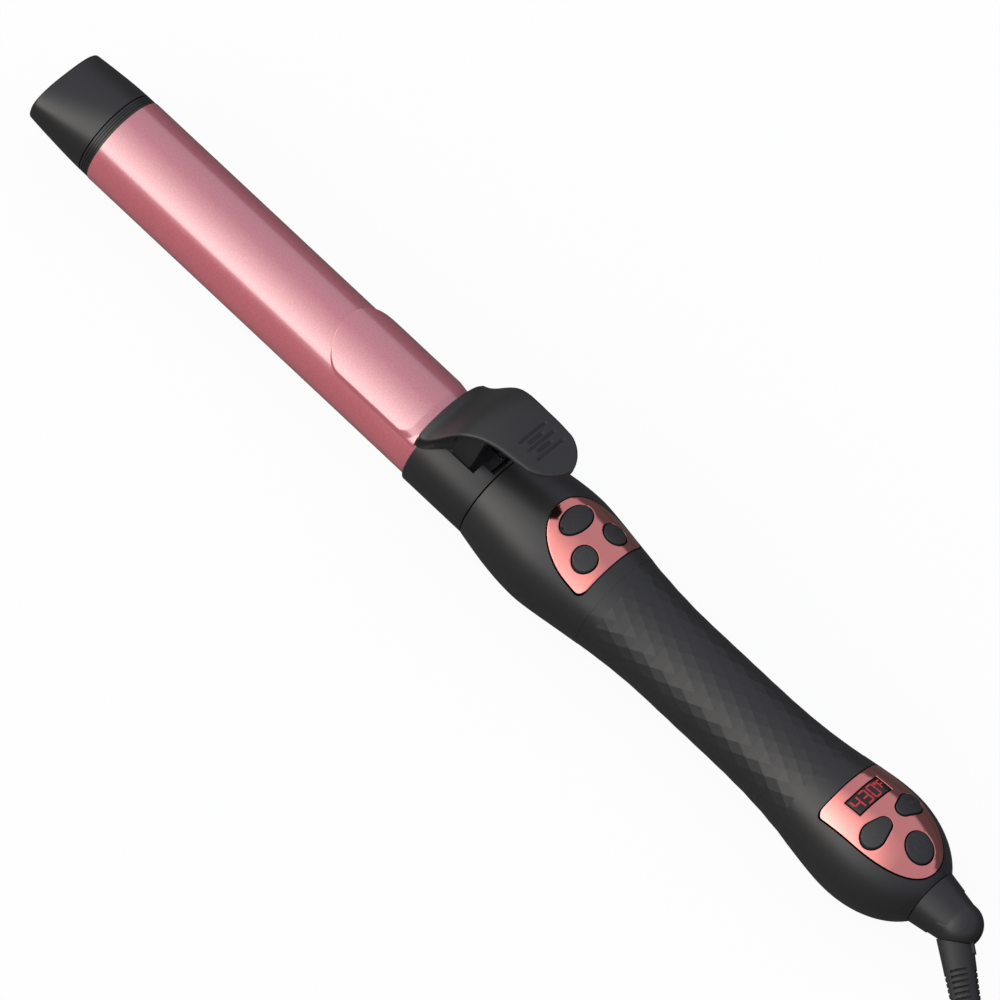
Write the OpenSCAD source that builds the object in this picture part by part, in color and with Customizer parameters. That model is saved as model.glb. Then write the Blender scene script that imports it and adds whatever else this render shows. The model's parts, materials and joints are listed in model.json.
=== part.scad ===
// Rotating curling iron with a motor-driven barrel, a sprung clamp and a swivelling cord.
// It lies on its side bulges with +X along the axis toward the cord and +Z through the button panels.

/* [Barrel] */
// Outer radius of the heated barrel
barrel_r = 16; // [15.6:0.1:16.4]
// Wall of the barrel tube
barrel_wall = 1; // [0.7:0.1:1.3]
// Length of barrel between the tip ring and the collar
barrel_len = 141.2; // [110:0.1:160]
// Length of barrel tucked inside the collar
barrel_tuck = 4.5; // [3.5:0.1:4.8]

/* [Cool tip] */
// Length of the wedge-shaped tip
tip_len = 23.3; // [16:0.1:30]
// Width across the wedge at its nose
nose_w = 31; // [27:0.1:31.4]
// Thickness of the wedge at its nose
nose_t = 16.4; // [11:0.1:22]
// Rounding of the nose edge
nose_round = 1.3; // [0.6:0.1:2.5]
// Length of the ring between tip and barrel
ring_len = 3.6; // [3:0.1:6]
// Width of the groove between tip and ring
groove_w = 0.35; // [0.2:0.05:0.6]
// Step from the barrel down to the ring
ring_step = 0.15; // [0.05:0.05:0.5]

/* [Collar] */
// Length of the collar that turns with the barrel
collar_len = 25.6; // [25.4:0.1:28]
// Wall of the collar over the barrel
collar_wall = 1; // [0.8:0.1:1.1]
// Half width of the slot that the lever's webs work in
slot_half = 9.7; // [9.6:0.1:10.2]
// Thickness of the collar's rear wall
collar_back = 2.4; // [2:0.1:2.8]

/* [Clamp] */
// Length of the clamp plate in front of the collar
clamp_len = 45.4; // [35:0.1:70]
// Thickness of the clamp plate
clamp_t = 0.95; // [0.8:0.05:1]
// Gap between the clamp plate and the barrel
clamp_gap = 0.3; // [0.25:0.05:0.4]
// Half angle that the clamp plate covers
clamp_angle = 56; // [45:1:62]
// Length of the clamp's rounded front
clamp_round = 11; // [8:0.5:16]

/* [Thumb lever] */
// Wall of the lever shell
lever_t = 2; // [1.6:0.1:2.2]
// Height of the thumb pad above the axis
pad_z = 38.4; // [36:0.1:42]
// Width of the thumb pad
pad_w = 20.6; // [18:0.2:24]
// Where the thumb pad ends behind the collar
pad_end = 20.6; // [16:0.1:22]
// Half angle of the lever's front rim
rim_angle = 51; // [46:1:54]
// Depth of the grooves under the thumb
groove_d = 0.5; // [0.3:0.1:0.7]
// Pitch of the long grooves
groove_pitch = 3.9; // [3.4:0.1:4.4]
// Length of the long grooves
groove_len = 11; // [8:0.5:13]
// Height of the hinge pin above the axis
pin_z = 13.3; // [13:0.1:13.5]
// Distance of the hinge pin behind the collar's front edge
pin_back = 8.9; // [8.7:0.1:9.2]
// Radius of the hinge pin
pin_r = 1.25; // [1:0.05:1.4]
// Thickness of each lever web
web_t = 1.6; // [1.2:0.1:1.8]

/* [Handle] */
// Length of the handle
handle_len = 188.3; // [178:0.1:204]
// Running gap between collar and handle
turn_gap = 0.5; // [0.3:0.1:0.8]
// Wall of the handle shells
wall = 2.2; // [1.8:0.1:2.4]
// Radius of the handle at its front edge
front_r = 17.2; // [17:0.1:18]
// Radius of the front bulge
front_bulge_r = 20.7; // [20.2:0.1:21.5]
// Where the front bulge is widest
front_bulge_x = 26.5; // [25:0.5:28]
// Radius of the waist
waist_r = 15.65; // [15.2:0.05:16.5]
// Where the waist starts
waist_x = 79; // [74:1:84]
// Where the rear bulge starts to rise
rise_x = 100; // [95:1:105]
// Radius of the rear bulge
rear_bulge_r = 20.6; // [20.3:0.1:21.6]
// Distance of the rear bulge's widest place from the handle's end
rear_bulge_back = 25.7; // [23:0.1:27]
// Radius of the handle at its rear edge
tail_r = 10; // [9.4:0.1:10.6]

/* [Diamond grip] */
// Facet corners around the grip on each ring
facets = 24; // [20:2:30]
// Smooth strip between the faceted grip and the lower panel
grip_gap = 5; // [3.2:0.1:6]
// Rings of facet corners along the grip
facet_rings = 23; // [19:2:23]
// Where the faceted grip starts
grip_x = 51.4; // [50:0.1:53]
// Relief of the facets under the smooth handle
facet_sink = 0.05; // [0.02:0.01:0.1]

/* [Panels] */
// Thickness of the two metal-look panels
panel_t = 1.2; // [1:0.1:1.3]
// Gap around each panel, button and window
panel_gap = 0.4; // [0.3:0.05:0.45]
// Front tip of the upper panel
up_front = 20.9; // [20:0.1:22]
// Straight rear edge of the upper panel
up_back = 46.4; // [46:0.1:48]
// Half width of the upper panel
up_half = 14.6; // [14:0.1:15]
// Length of the lower panel
low_len = 38.1; // [37.5:0.1:39]
// Distance of the lower panel's rounded tip from the handle's end
low_end = 2.2; // [2:0.1:3]
// Half width of the lower panel
low_half = 14.35; // [14:0.05:14.8]

/* [Buttons] */
// Place of the big oval button along the handle
oval_x = 28.4; // [28:0.1:29]
// Length of the oval button along the handle
oval_l = 7.8; // [7.2:0.1:8.4]
// Width of the oval button across the handle
oval_w = 13.2; // [12:0.1:13.6]
// Place of the round buttons along the handle
round_x = 39.3; // [39:0.1:39.7]
// Distance of each round button from the middle
round_y = 7.1; // [6.8:0.1:7.3]
// Diameter of the round buttons
round_d = 7.9; // [7.4:0.1:8.3]
// Distance of the display window behind the lower panel's straight edge
window_in = 7.3; // [7:0.1:7.7]
// Length of the display window along the handle
window_l = 5.9; // [5.5:0.1:6.3]
// Width of the display window across the handle
window_w = 14.4; // [13.5:0.1:15]
// Distance of the teardrop buttons behind the lower panel's straight edge
drop_back = 17.8; // [17.5:0.1:18]
// Inner end of each teardrop button from the middle
drop_in = 2.1; // [1.9:0.1:2.3]
// Outer end of each teardrop button from the middle
drop_out = 12.8; // [12.2:0.1:13]
// Distance of the power button behind the lower panel's straight edge
power_back = 30; // [29.7:0.1:30.2]
// Diameter of the power button
power_d = 9.6; // [9:0.1:10]
// How far the buttons stand out of the panels
button_proud = 0.6; // [0.4:0.1:0.8]
// Travel of the buttons
button_travel = 0.6; // [0.4:0.1:0.7]

/* [Drive] */
// Gear module
gear_m = 0.5; // [0.5:0.01:0.51]
// Teeth on the drive gear
gear_teeth = 20; // [20:1:20]
// Teeth on the motor pinion
pinion_teeth = 12; // [12:1:12]
// Face width of the gears
gear_w = 4; // [3.6:0.1:4.2]
// Radius of the drive shaft in its front bearing
shaft_r = 6; // [5.8:0.1:6.2]
// Radius of the drive shaft's narrow rear part
shaft_rear_r = 3.5; // [3.3:0.05:3.6]
// Radius of the drive shaft's wire bore
wire_bore_r = 2.5; // [2.2:0.1:2.6]
// Motor diameter across its round sides
motor_d = 12; // [11.5:0.1:12]
// Motor height across its flats
motor_flat = 10; // [9.6:0.1:10]

/* [Boards] */
// Height of the button boards above the axis
board_z = 10; // [9.8:0.1:10.2]
// Thickness of the circuit boards
board_t = 1.2; // [1:0.1:1.3]
// Height of the tact switches
switch_h = 2; // [1.8:0.1:2.2]

/* [Swivel and boot] */
// Place of the boot's pivot behind the handle
pivot_back = 12.4; // [12.2:0.1:12.8]
// Radius of the swivel's ball-shaped knuckle
knuckle_r = 8.1; // [7.8:0.1:8.2]
// Thickness of the knuckle between its flat faces
knuckle_t = 15; // [14:0.1:15.2]
// Radius of the swivel's neck in the handle's end
neck_r = 6; // [5.6:0.1:6.2]
// Length of the boot from its pivot
boot_len = 43; // [43:0.1:43]
// Distance of the boot's sleeve to one side of its pivot
boot_shift = 2; // [1.8:0.1:2.2]
// Bend of the boot at rest
boot_bend = 36.5; // [36.5:0.1:36.5]
// Turn of the swivel at rest
swivel_roll = 31.66; // [31.66:0.01:31.66]
// Pitch of the boot's ladder slots
rung_pitch = 1.8; // [1.7:0.05:1.85]
// Ladder slots along each side of the boot
rungs = 15; // [13:1:15]

/* [Cord and plug] */
// Diameter of the cord
cord_d = 6; // [5.6:0.1:6]
// Straight run of the put-away hank
hank_run = 92; // [92:1:92]
// Step between neighbouring turns at the hank's ends
hank_pitch = 8.8; // [8.8:0.1:9]
// Share of its width that the hank keeps at its tied waist
hank_waist = 0.86; // [0.86:0.01:0.95]
// Distance between the two mains blades
blade_gap = 12.7; // [12.5:0.1:12.9]
// Length of the mains blades
blade_len = 17; // [15:0.5:18]

/* [Hidden] */

$fn = 72;
seat = 0.1;
fit = 0.02;
running = 0.06;

collar_x = -collar_len;
barrel_x = collar_x - barrel_len;
ring_x = barrel_x - ring_len;
tip_x = ring_x - groove_w;
nose_x = tip_x - tip_len;
tip_r = barrel_r - ring_step;
bore_r = barrel_r - barrel_wall;
collar_r = barrel_r + seat + collar_wall;
collar_bore = bore_r + 0.3;
tuck_x = collar_x + barrel_tuck;
pin_x = collar_x + pin_back;
heater_in = 16;
heater_back = 20;
shoe_wall = 1.3;
shoe_floor = 1.6;
hub_top = pin_z - 5.3;
hub_back = -collar_back - seat;
slot_end = -6;
web_end = slot_end - 1.6;

clamp_in = barrel_r + clamp_gap;
clamp_out = clamp_in + clamp_t;
tail_in = collar_r + 0.3;
rim_in = tail_in + clamp_t + fit;
rim_r = rim_in + lever_t;
rim_x = collar_x - 0.7;
pad_x = 12;
rim_edge_z = rim_r * cos(rim_angle);
rim_half = rim_r * sin(rim_angle);
rim_corner = 1.8;
rim_band = 2.6;
clamp_hidden = tail_in * sin(rim_angle - 6);
web_out = slot_half - 0.3;
web_mid = web_out - web_t / 2;
web_round = 2;
ear_t = 2.4;
ear_out = web_out - web_t - 0.3;
spring_wire = 0.6;
spring_r = 2.6;
spring_turns = 4.25;
spring_pitch = 1.45;

tail_x = turn_gap + handle_len;
pivot_x = tail_x + pivot_back;
bulkhead = 3;
cavity_x = turn_gap + bulkhead;
cavity_end = tail_x - 4.6;
low_back = tail_x - low_end;
low_front = low_back - low_len;
window_x = low_front + window_in;
drop_x = low_front + drop_back;
power_x = low_front + power_back;
rear_bulge_x = tail_x - rear_bulge_back;
grip_end = low_front - grip_gap;
facet_step = (grip_end - grip_x) / (facet_rings - 1);
recess = panel_t + seat;
axis_z = max(front_bulge_r, rear_bulge_r);

gear_r = gear_m * gear_teeth / 2;
pinion_r = gear_m * pinion_teeth / 2;
motor_z = -(gear_r + pinion_r + 0.05);
drum_x = 10;
drum_end = 27;
drum_r = 6.6;
ring_in = drum_r + 0.05;
slip_r = 7.6;
slip_w = 2.4;
slip_places = [13.4, 18.4, 23.4];
gear_x = 28.3;
bracket_x = gear_x + gear_w + 0.7;
bracket_t = 2;
bearing_r = 5.2;
gearbox_x = bracket_x + bracket_t + seat;
gearbox_len = 9;
motor_len = 15;

knuckle_slot = 5.2;
tongue_t = knuckle_slot - 0.4;
tongue_r = 5.5;
boot_r0 = 5.5;
boot_r1 = 3.9;
boot_pin_r = 1.5;
cone_end = pivot_x - 1;
cone_r1 = sqrt(pow(knuckle_r, 2) - 1) + 0.01;
boot_gap = 0.3;

cord_r = cord_d / 2;
tie_t = 1.1;
hank_z = cord_r + tie_t + 0.2;
hank_x = 330;
lead_y = -32.5;
hank_inner = 18;
hank_layer = 6.5;
layer_turns = 1.5;
hank_layers = 4;
spread = layer_turns - 0.25;
hank_outer = hank_inner + hank_pitch * spread;
hank_y = lead_y + hank_outer;
top_z = hank_z + hank_layer * (hank_layers - 1);
lead_points = [[244.6, -28.9, 3.32], [250, -30.9, 3.1], [255.5, -32.1, 3.15], [263, lead_y, 3.55],
    [273, lead_y, hank_z], [hank_x - hank_run / 2, lead_y, hank_z]];
tail_points = [[388, -33, 23.8], [397, -33.5, 21.8], [407, -32, 16.3], [417, -28.4, 10.8],
    [426, -24.6, 8.4], [434, -22.5, 8]];
plug_x = 440;
plug_y = -22.5;
plug_z = 8;
plug_relief = 14;
plug_len = 22;

// The box of the iron without its cord ends at the nose and at the boot's tongue
mid_x = (nose_x + pivot_x + tongue_r) / 2;

function unit(v) = v / norm(v);
function ease(u) = u * u * (3 - 2 * u);
function wave(x) = front_bulge_x > x
    ? front_r + (front_bulge_r - front_r) * sin(90 * x / front_bulge_x)
    : rear_bulge_r * sqrt(1 - pow((x - rear_bulge_x) / tail_reach, 2));
tail_reach = (tail_x - rear_bulge_x) / sqrt(1 - pow(tail_r / rear_bulge_r, 2));
function handle_r(x) =
    x < front_bulge_x || x > rear_bulge_x ? wave(x)
    : x < waist_x ? front_bulge_r
        - (front_bulge_r - waist_r) * ease(pow((x - front_bulge_x) / (waist_x - front_bulge_x), 0.75))
    : x < rise_x ? waist_r
    : waist_r + (rear_bulge_r - waist_r) * ease(pow((x - rise_x) / (rear_bulge_x - rise_x), 1.75));

// Stations between two places, about one step apart, with both ends
function stations(a, b, step) = [for (n = ceil((b - a) / step), i = 0; i <= n; i = i + 1) a + (b - a) * i / n];

// Places a piece drawn about the handle's axis in the part's own frame
module place() translate([-mid_x, 0, axis_z]) children();

// Turns a profile of [place, radius] points about the handle's axis
module turned(points) rotate([0, 90, 0]) rotate_extrude() polygon([for (p = points) [p[1], p[0]]]);

module rod(x, length, r) translate([x, 0, 0]) rotate([0, 90, 0]) cylinder(h = length, r = r);

module tube(x, length, r, bore) difference() {
    rod(x, length, r);
    rod(x - 1, length + 2, bore);
}

module block(x, y, z) translate([x[0], y[0], z[0]]) cube([x[1] - x[0], y[1] - y[0], z[1] - z[0]]);

module half_space(up) block([-250, 300], [-60, 60], up ? [0, 60] : [-60, 0]);

// Skins a list of closed loops of points, with triangles between neighbouring loops
module loft(loops) {
    n = len(loops[0]);
    last = (len(loops) - 1) * n;
    sides = [for (i = [0 : len(loops) - 2], j = [0 : n - 1]) let (k = (j + 1) % n)
        each [[i * n + j, i * n + k, i * n + n + j], [i * n + k, i * n + n + k, i * n + n + j]]];
    caps = [[for (j = [n - 1 : -1 : 0]) j], [for (j = [0 : n - 1]) last + j]];
    polyhedron([for (loop = loops) each loop], concat(sides, caps));
}

function heading(path, i) = unit(path[min(i + 1, len(path) - 1)] - path[max(i - 1, 0)]);
function loop_at(p, t, up, r, sides) = let (side = unit(cross(t, up)), top = cross(side, t))
    [for (j = [0 : sides - 1]) let (a = 360 * j / sides) p + r * (cos(a) * side + sin(a) * top)];
module sweep(path, up, r, sides)
    loft([for (i = [0 : len(path) - 1]) loop_at(path[i], heading(path, i), up, r, sides)]);

// Smooth curve through chosen points, with the given number of steps between neighbours
function between(a, b, c, d, u) = 0.5 * (2 * b + (c - a) * u
    + (2 * a - 5 * b + 4 * c - d) * u * u + (3 * b - a - 3 * c + d) * u * u * u);
function through(p, steps) = [for (i = [0 : len(p) - 2], s = [0 : steps - 1])
    between(p[max(i - 1, 0)], p[i], p[i + 1], p[min(i + 2, len(p) - 1)], s / steps), p[len(p) - 1]];
function path_length(p, i = 1) = i < len(p) ? norm(p[i] - p[i - 1]) + path_length(p, i + 1) : 0;

// Handle surfaces

function skin(a, b, step, inset) = [for (x = stations(a, b, step)) [x, handle_r(x) - inset]];
module core(a, b, step, inset) turned(concat([[a, 0]], skin(a, b, step, inset), [[b, 0]]));

// A diamond lattice: each ring of corners stands half a step round from the one before
module diamond_grip() {
    rings = [for (i = [0 : facet_rings - 1]) let (x = grip_x + facet_step * i)
        [for (j = [0 : facets - 1]) let (a = 360 * (j + (i % 2) / 2) / facets, r = handle_r(x) - facet_sink)
            [x, r * sin(a), r * cos(a)]]];
    n = facets;
    band = [for (i = [0 : facet_rings - 2], j = [0 : n - 1]) let (k = (j + 1) % n, a = i * n, b = a + n)
        each i % 2 == 0
            ? [[a + j, a + k, b + j], [a + k, b + k, b + j]]
            : [[a + j, b + k, b + j], [a + j, a + k, b + k]]];
    last = (facet_rings - 1) * n;
    polyhedron([for (r = rings) each r],
        concat(band, [[for (j = [n - 1 : -1 : 0]) j], [for (j = [0 : n - 1]) last + j]]));
}

module handle_outer() {
    core(turn_gap, grip_x + 0.2, 2, 0);
    diamond_grip();
    core(grip_end - 0.2, tail_x, 1.4, 0);
}

module cavity() core(cavity_x, cavity_end, 5, wall);

// Outlines in plan, grown outward by a gap

function panel_curve(middle, reach, half, power, grow, away) =
    [for (a = [-90 : 6 : 90]) let (c = pow(cos(a), 2 / power), s = sign(a) * pow(abs(sin(a)), 2 / power))
        [middle + away * (reach + grow) * c, (half + grow) * s]];
function panel_corners(edge, half, corner, grow, away) =
    [for (side = [1, -1], a = [0 : 15 : 90]) let (r = corner, turn = side > 0 ? a : 90 - a)
        [edge + away * (grow - r + r * sin(turn)), side * (half + grow - r + r * cos(turn))]];
module upper_outline(grow) polygon(concat(
    panel_curve(up_front + 19.2, 19.2, up_half, 2.2, grow, -1),
    panel_corners(up_back, up_half, 2.8, grow, 1)));
module lower_outline(grow) polygon(concat(
    panel_curve(low_back - 24.6, 24.6, low_half, 2.1, grow, 1),
    panel_corners(low_front, low_half, 2.2, grow, -1)));

module oval_outline(grow) polygon([for (a = [0 : 7.5 : 359])
    [oval_x + (oval_l / 2 + grow) * cos(a), (oval_w / 2 + grow) * sin(a)]]);
module round_outline(side, grow) translate([round_x, side * round_y]) circle(d = round_d + 2 * grow);
module window_outline(grow)
    translate([window_x, 0]) square([window_l, window_w] + 2 * [grow, grow], center = true);
module power_outline(grow) translate([power_x, 0]) circle(d = power_d + 2 * grow);

// A teardrop: a broad outer end and a narrow inner one with straight flanks between
drop_big = 3.85;
drop_small = 2.45;
function drop_flank() = asin((drop_big - drop_small) / (drop_out - drop_big - drop_in - drop_small));
module drop_outline(side, grow) translate([drop_x, 0]) mirror([0, side > 0 ? 0 : 1]) polygon(
    let (far = drop_out - drop_big, near = drop_in + drop_small, lean = drop_flank()) concat(
        [for (a = [-lean : (180 + 2 * lean) / 18 : 180 + lean + 0.1])
            [(drop_big + grow) * cos(a), far + (drop_big + grow) * sin(a)]],
        [for (a = [180 + lean : (180 - 2 * lean) / 12 : 360 - lean + 0.1])
            [(drop_small + grow) * cos(a), near + (drop_small + grow) * sin(a)]]));

module up_through(low, high) translate([0, 0, low]) linear_extrude(high - low) children();

// Shallow pocket that a panel lies in, and the panel itself
module upper_pocket() difference() {
    up_through(6, 30) upper_outline(panel_gap);
    core(up_front - 3, up_back + 3, 2, recess);
}
module lower_pocket() difference() {
    up_through(4, 30) lower_outline(panel_gap);
    core(low_front - 3, tail_x - 0.2, 2, recess);
}

// Tips and barrel

function nose_loop(x, half, thick, power) = [for (j = [0 : 47]) let (a = -360 * j / 48)
    [x, half * sign(sin(a)) * pow(abs(sin(a)), 2 / power), thick * sign(cos(a)) * pow(abs(cos(a)), 2 / power)]];
module cool_tip() place() color([0.13, 0.13, 0.135]) {
    body = tip_len - nose_round;
    flanks = [for (i = [0 : 7]) let (u = i / 7, x = tip_x - u * body)
        nose_loop(x, tip_r - (tip_r - nose_w / 2) * u * u, tip_r - (tip_r - nose_t / 2) * pow(u, 1.1),
            2 + 0.55 * u)];
    rim = [for (a = [22.5, 45, 67.5, 90]) let (inset = nose_round * (1 - cos(a)))
        nose_loop(tip_x - body - nose_round * sin(a), nose_w / 2 - inset, nose_t / 2 - inset, 2.55)];
    loft(concat(flanks, rim));
    tube(tip_x - fit, groove_w + ring_len + 3, tip_r - 3.2, tip_r - 5);
}

module tip_ring() place() color([0.12, 0.12, 0.125]) {
    tube(ring_x, ring_len, tip_r, tip_r - 3.1);
    tube(ring_x + ring_len - 0.5, 7, bore_r - 0.05, tip_r - 3.1);
}

module barrel_tube() place() color([0.86, 0.52, 0.56])
    tube(barrel_x + fit, tuck_x - barrel_x - fit, barrel_r, bore_r);

heater_x = barrel_x + heater_in;
heater_end = tuck_x - heater_back;
module heater_bar() place() color([0.85, 0.83, 0.78])
    block([heater_x, heater_end], [-6, 6], [-1.8, 1.8]);

// Two half-round shoes clamp the flat heater and press on the barrel's bore
module heater_shoes() place() color([0.75, 0.76, 0.78]) for (side = [0, 1]) mirror([0, 0, side]) difference() {
    intersection() {
        rod(heater_x - 3, heater_end - heater_x + 6, bore_r - fit);
        block([heater_x - 5, heater_end + 5], [-20, 20], [1.8 + fit, 20]);
    }
    intersection() {
        rod(heater_x - 5, heater_end - heater_x + 10, bore_r - shoe_wall);
        block([heater_x - 6, heater_end + 6], [-20, 20], [1.8 + shoe_floor, 20]);
    }
}

module thermal_sensor() place() color([0.9, 0.9, 0.92])
    translate([heater_end - heater_back, 0, 1.8 + shoe_floor + 1.45]) rotate([0, 90, 0]) cylinder(h = 12, r = 1.4);

module heater_leads() place() color([0.8, 0.3, 0.2]) for (side = [-1, 1])
    translate([0, side * 1.2, 0]) rod(heater_end + fit, gear_x - 6 - heater_end, 0.8);

module hub_ears() for (side = [-1, 1]) translate([0, side * (ear_out - ear_t / 2), 0]) {
    translate([pin_x, 0, pin_z]) rotate([90, 0, 0]) cylinder(h = ear_t, r = 3, center = true);
    block([pin_x - 3, pin_x + 3], [-ear_t / 2, ear_t / 2], [hub_top - 1, pin_z]);
}

module hub_body() {
    rod(tuck_x - 12, 12 + seat, bore_r - 0.05);
    difference() {
        rod(tuck_x + seat, hub_back - tuck_x - seat, collar_bore - 0.08);
        block([tuck_x - 1, 5], [-20, 20], [hub_top, 20]);
    }
    hub_ears();
    block([-7, -4], [-6, 6], [hub_top - 1, pin_z - spring_r - spring_wire]);
}

module screw_places() for (side = [-1, 1]) translate([0, side * 11, -3]) children();

module barrel_hub() place() color([0.2, 0.2, 0.2]) difference() {
    hub_body();
    rod(tuck_x - 13, 30, wire_bore_r);
    rod(-12, 20, shaft_r + fit);
    translate([pin_x, 0, pin_z]) rotate([90, 0, 0]) cylinder(h = 40, r = pin_r + fit, center = true);
    screw_places() rod(hub_back - 8, 10, 1.2 + fit);
}

module slot_plan() {
    translate([tuck_x + 0.4, -slot_half]) square([slot_end - tuck_x - 0.4, 2 * slot_half]);
    translate([slot_end - 0.5, -6.2]) square([5.6, 12.4]);
}

module collar() place() color([0.12, 0.12, 0.125]) difference() {
    rod(collar_x, collar_len, collar_r);
    rod(collar_x - 1, barrel_tuck + 1.3, barrel_r + seat);
    rod(collar_x + 1, collar_len - 1 - collar_back, collar_bore);
    rod(-6, 7, shaft_r + 2);
    up_through(6, 20) slot_plan();
    screw_places() rod(-collar_back - 1, 5, 1.25);
    screw_places() rod(-1.5, 5, 2.5);
}

module hub_screws() place() color([0.7, 0.7, 0.72]) screw_places() {
    rod(hub_back - 7, 7 + collar_back + seat - 1, 1.2);
    rod(-1.45, 1.2, 2.4);
}

module hinge_pin() place() color([0.85, 0.85, 0.86])
    translate([pin_x, 0, pin_z]) rotate([90, 0, 0]) cylinder(h = 2 * (slot_half - 0.1), r = pin_r, center = true);

// Torsion spring: one leg lies on the hub and the other stands up under the lever
module lever_spring() place() color([0.8, 0.8, 0.82]) {
    r = spring_r;
    steps = floor(spring_turns * 10);
    half = spring_turns * spring_pitch / 2;
    coil = [for (i = [0 : steps]) let (a = 270 + spring_turns * 360 * i / steps)
        [pin_x + r * cos(a), half - 2 * half * i / steps, pin_z + r * sin(a)]];
    foot = [for (x = [-4.2, -9]) [x, half, pin_z - r]];
    arm = [for (z = [4, spring_arm]) [pin_x + r, -half, pin_z + z]];
    echo(spring_gap = spring_pitch - 2 * spring_wire);
    sweep(concat(foot, coil, arm), [0, 1, 0], spring_wire, 6);
}

// Drive line

module shaft_body() {
    rod(-12, drum_x - 0.5 + 12, shaft_r);
    rod(drum_x - 1, gear_x - 0.2 - drum_x + 1, 5);
    rod(gear_x - 1, bracket_x + bracket_t - seat - gear_x + 1, shaft_rear_r);
}
clip_x = cavity_x + 2.7 + seat;
module drive_shaft() place() color([0.8, 0.8, 0.83]) difference() {
    shaft_body();
    rod(-13, gear_x + 10, wire_bore_r);
    tube(clip_x - fit, 1 + 2 * fit, shaft_r + 1, shaft_r - 0.6);
    for (side = [-1, 1]) block([20.8, 21.2], [-0.5, 0.5], side > 0 ? [0, 6] : [-6, 0]);
}

module shaft_clip() place() color([0.6, 0.6, 0.62]) difference() {
    tube(clip_x, 1, shaft_r + 2.2, shaft_r - 0.55);
    block([clip_x - 1, clip_x + 2], [-2, 2], [0, 12]);
}

// Involute tooth flanks with a little backlash
function involute(base, a) = base * [cos(a) + a * PI / 180 * sin(a), sin(a) - a * PI / 180 * cos(a)];
function roll_to(base, r) = sqrt(pow(max(r, base) / base, 2) - 1) * 180 / PI;
module gear_outline(teeth, play) {
    pressure = 25;
    pitch = gear_m * teeth / 2;
    base = pitch * cos(pressure);
    root = pitch - 1.2 * gear_m;
    tip = pitch + 0.92 * gear_m;
    lean = tan(pressure) * 180 / PI - pressure;
    half = 90 / teeth + lean - play / pitch * 180 / PI;
    flank = [for (r = [max(base, root), (pitch + max(base, root)) / 2, pitch, (pitch + tip) / 2, tip])
        let (p = involute(base, roll_to(base, r))) [norm(p), atan2(p[1], p[0])]];
    polygon([for (i = [0 : teeth - 1]) let (mid = 360 * i / teeth) each concat(
        [root * [cos(mid - half), sin(mid - half)]],
        [for (f = flank) f[0] * [cos(mid - half + f[1]), sin(mid - half + f[1])]],
        [for (k = [len(flank) - 1 : -1 : 0]) flank[k][0] * [cos(mid + half - flank[k][1]), sin(mid + half - flank[k][1])]],
        [root * [cos(mid + half), sin(mid + half)]])]);
}

module drive_gear() place() color([0.9, 0.88, 0.8]) difference() {
    translate([gear_x, 0, 0]) rotate([0, 90, 0]) linear_extrude(gear_w) gear_outline(gear_teeth, 0.03);
    rod(gear_x - 1, gear_w + 2, shaft_rear_r + fit);
}

module motor_pinion() place() color([0.85, 0.75, 0.4]) translate([0, 0, motor_z]) {
    translate([gear_x, 0, 0]) rotate([0, 90, 0]) linear_extrude(gear_w)
        rotate(180 + 180 / pinion_teeth) gear_outline(pinion_teeth, 0.03);
    rod(gear_x + 1, gearbox_x - gear_x - 1 - seat, 1.5);
}

module slip_ring_drum() place() color([0.25, 0.25, 0.27]) difference() {
    union() {
        rod(drum_x, drum_end - drum_x, drum_r);
        for (x = [drum_x, 15.4, 20.4, drum_end - 1.6]) rod(x, 1.6, slip_r + 0.5);
    }
    rod(drum_x - 1, 30, 5 + fit);
}

module slip_rings() place() color([0.85, 0.7, 0.4])
    for (x = slip_places) tube(x - slip_w / 2 + 0.4, slip_w - 0.8, slip_r, ring_in);

module brush_block() place() color([0.3, 0.25, 0.22]) difference() {
    block([drum_x + 0.6, drum_end - 0.6], [-6, 6], [-14.2, -9.4]);
    for (x = slip_places) block([x - 1.1, x + 1.1], [-2.6, 2.6], [-13, -5]);
}

module brushes() place() color([0.25, 0.25, 0.27]) for (x = slip_places) difference() {
    block([x - 0.7, x + 0.7], [-2.5, 2.5], [-12.9, -6]);
    rod(x - 2, 4, slip_r + seat);
}

// Clamp and lever

module clamp_plan() polygon(let (half = clamp_out * sin(clamp_angle), tip = collar_x - clamp_len)
    concat([for (a = [-90 : 6 : 90]) [tip + clamp_round * (1 - cos(a)), half * sin(a)]],
        [[rim_x - 0.2, half], [rim_x + 1.6, clamp_hidden], [collar_x + 5, clamp_hidden],
            [collar_x + 5, -clamp_hidden], [rim_x + 1.6, -clamp_hidden], [rim_x - 0.2, -half]]));

rivet_angles = [-26, 26];
rivet_x = collar_x + 2.2;
module rivets(r) for (a = rivet_angles) rotate([a, 0, 0])
    translate([rivet_x, 0, tail_in + fit]) cylinder(h = clamp_t + 1.2 - 2 * fit, r = r);

module clamp_plate() place() color([0.88, 0.53, 0.57]) difference() {
    intersection() {
        turned([[collar_x - clamp_len - 1, clamp_in], [collar_x - 4.4, clamp_in], [collar_x - 1.2, tail_in],
            [collar_x + 4.4, tail_in], [collar_x + 4.4, tail_in + clamp_t], [collar_x - 1.6, tail_in + clamp_t],
            [collar_x - 4.8, clamp_out], [collar_x - clamp_len - 1, clamp_out]]);
        up_through(2, 30) clamp_plan();
    }
    rivets(1 + fit);
}

module clamp_rivets() place() color([0.8, 0.8, 0.8]) rivets(1);

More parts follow.
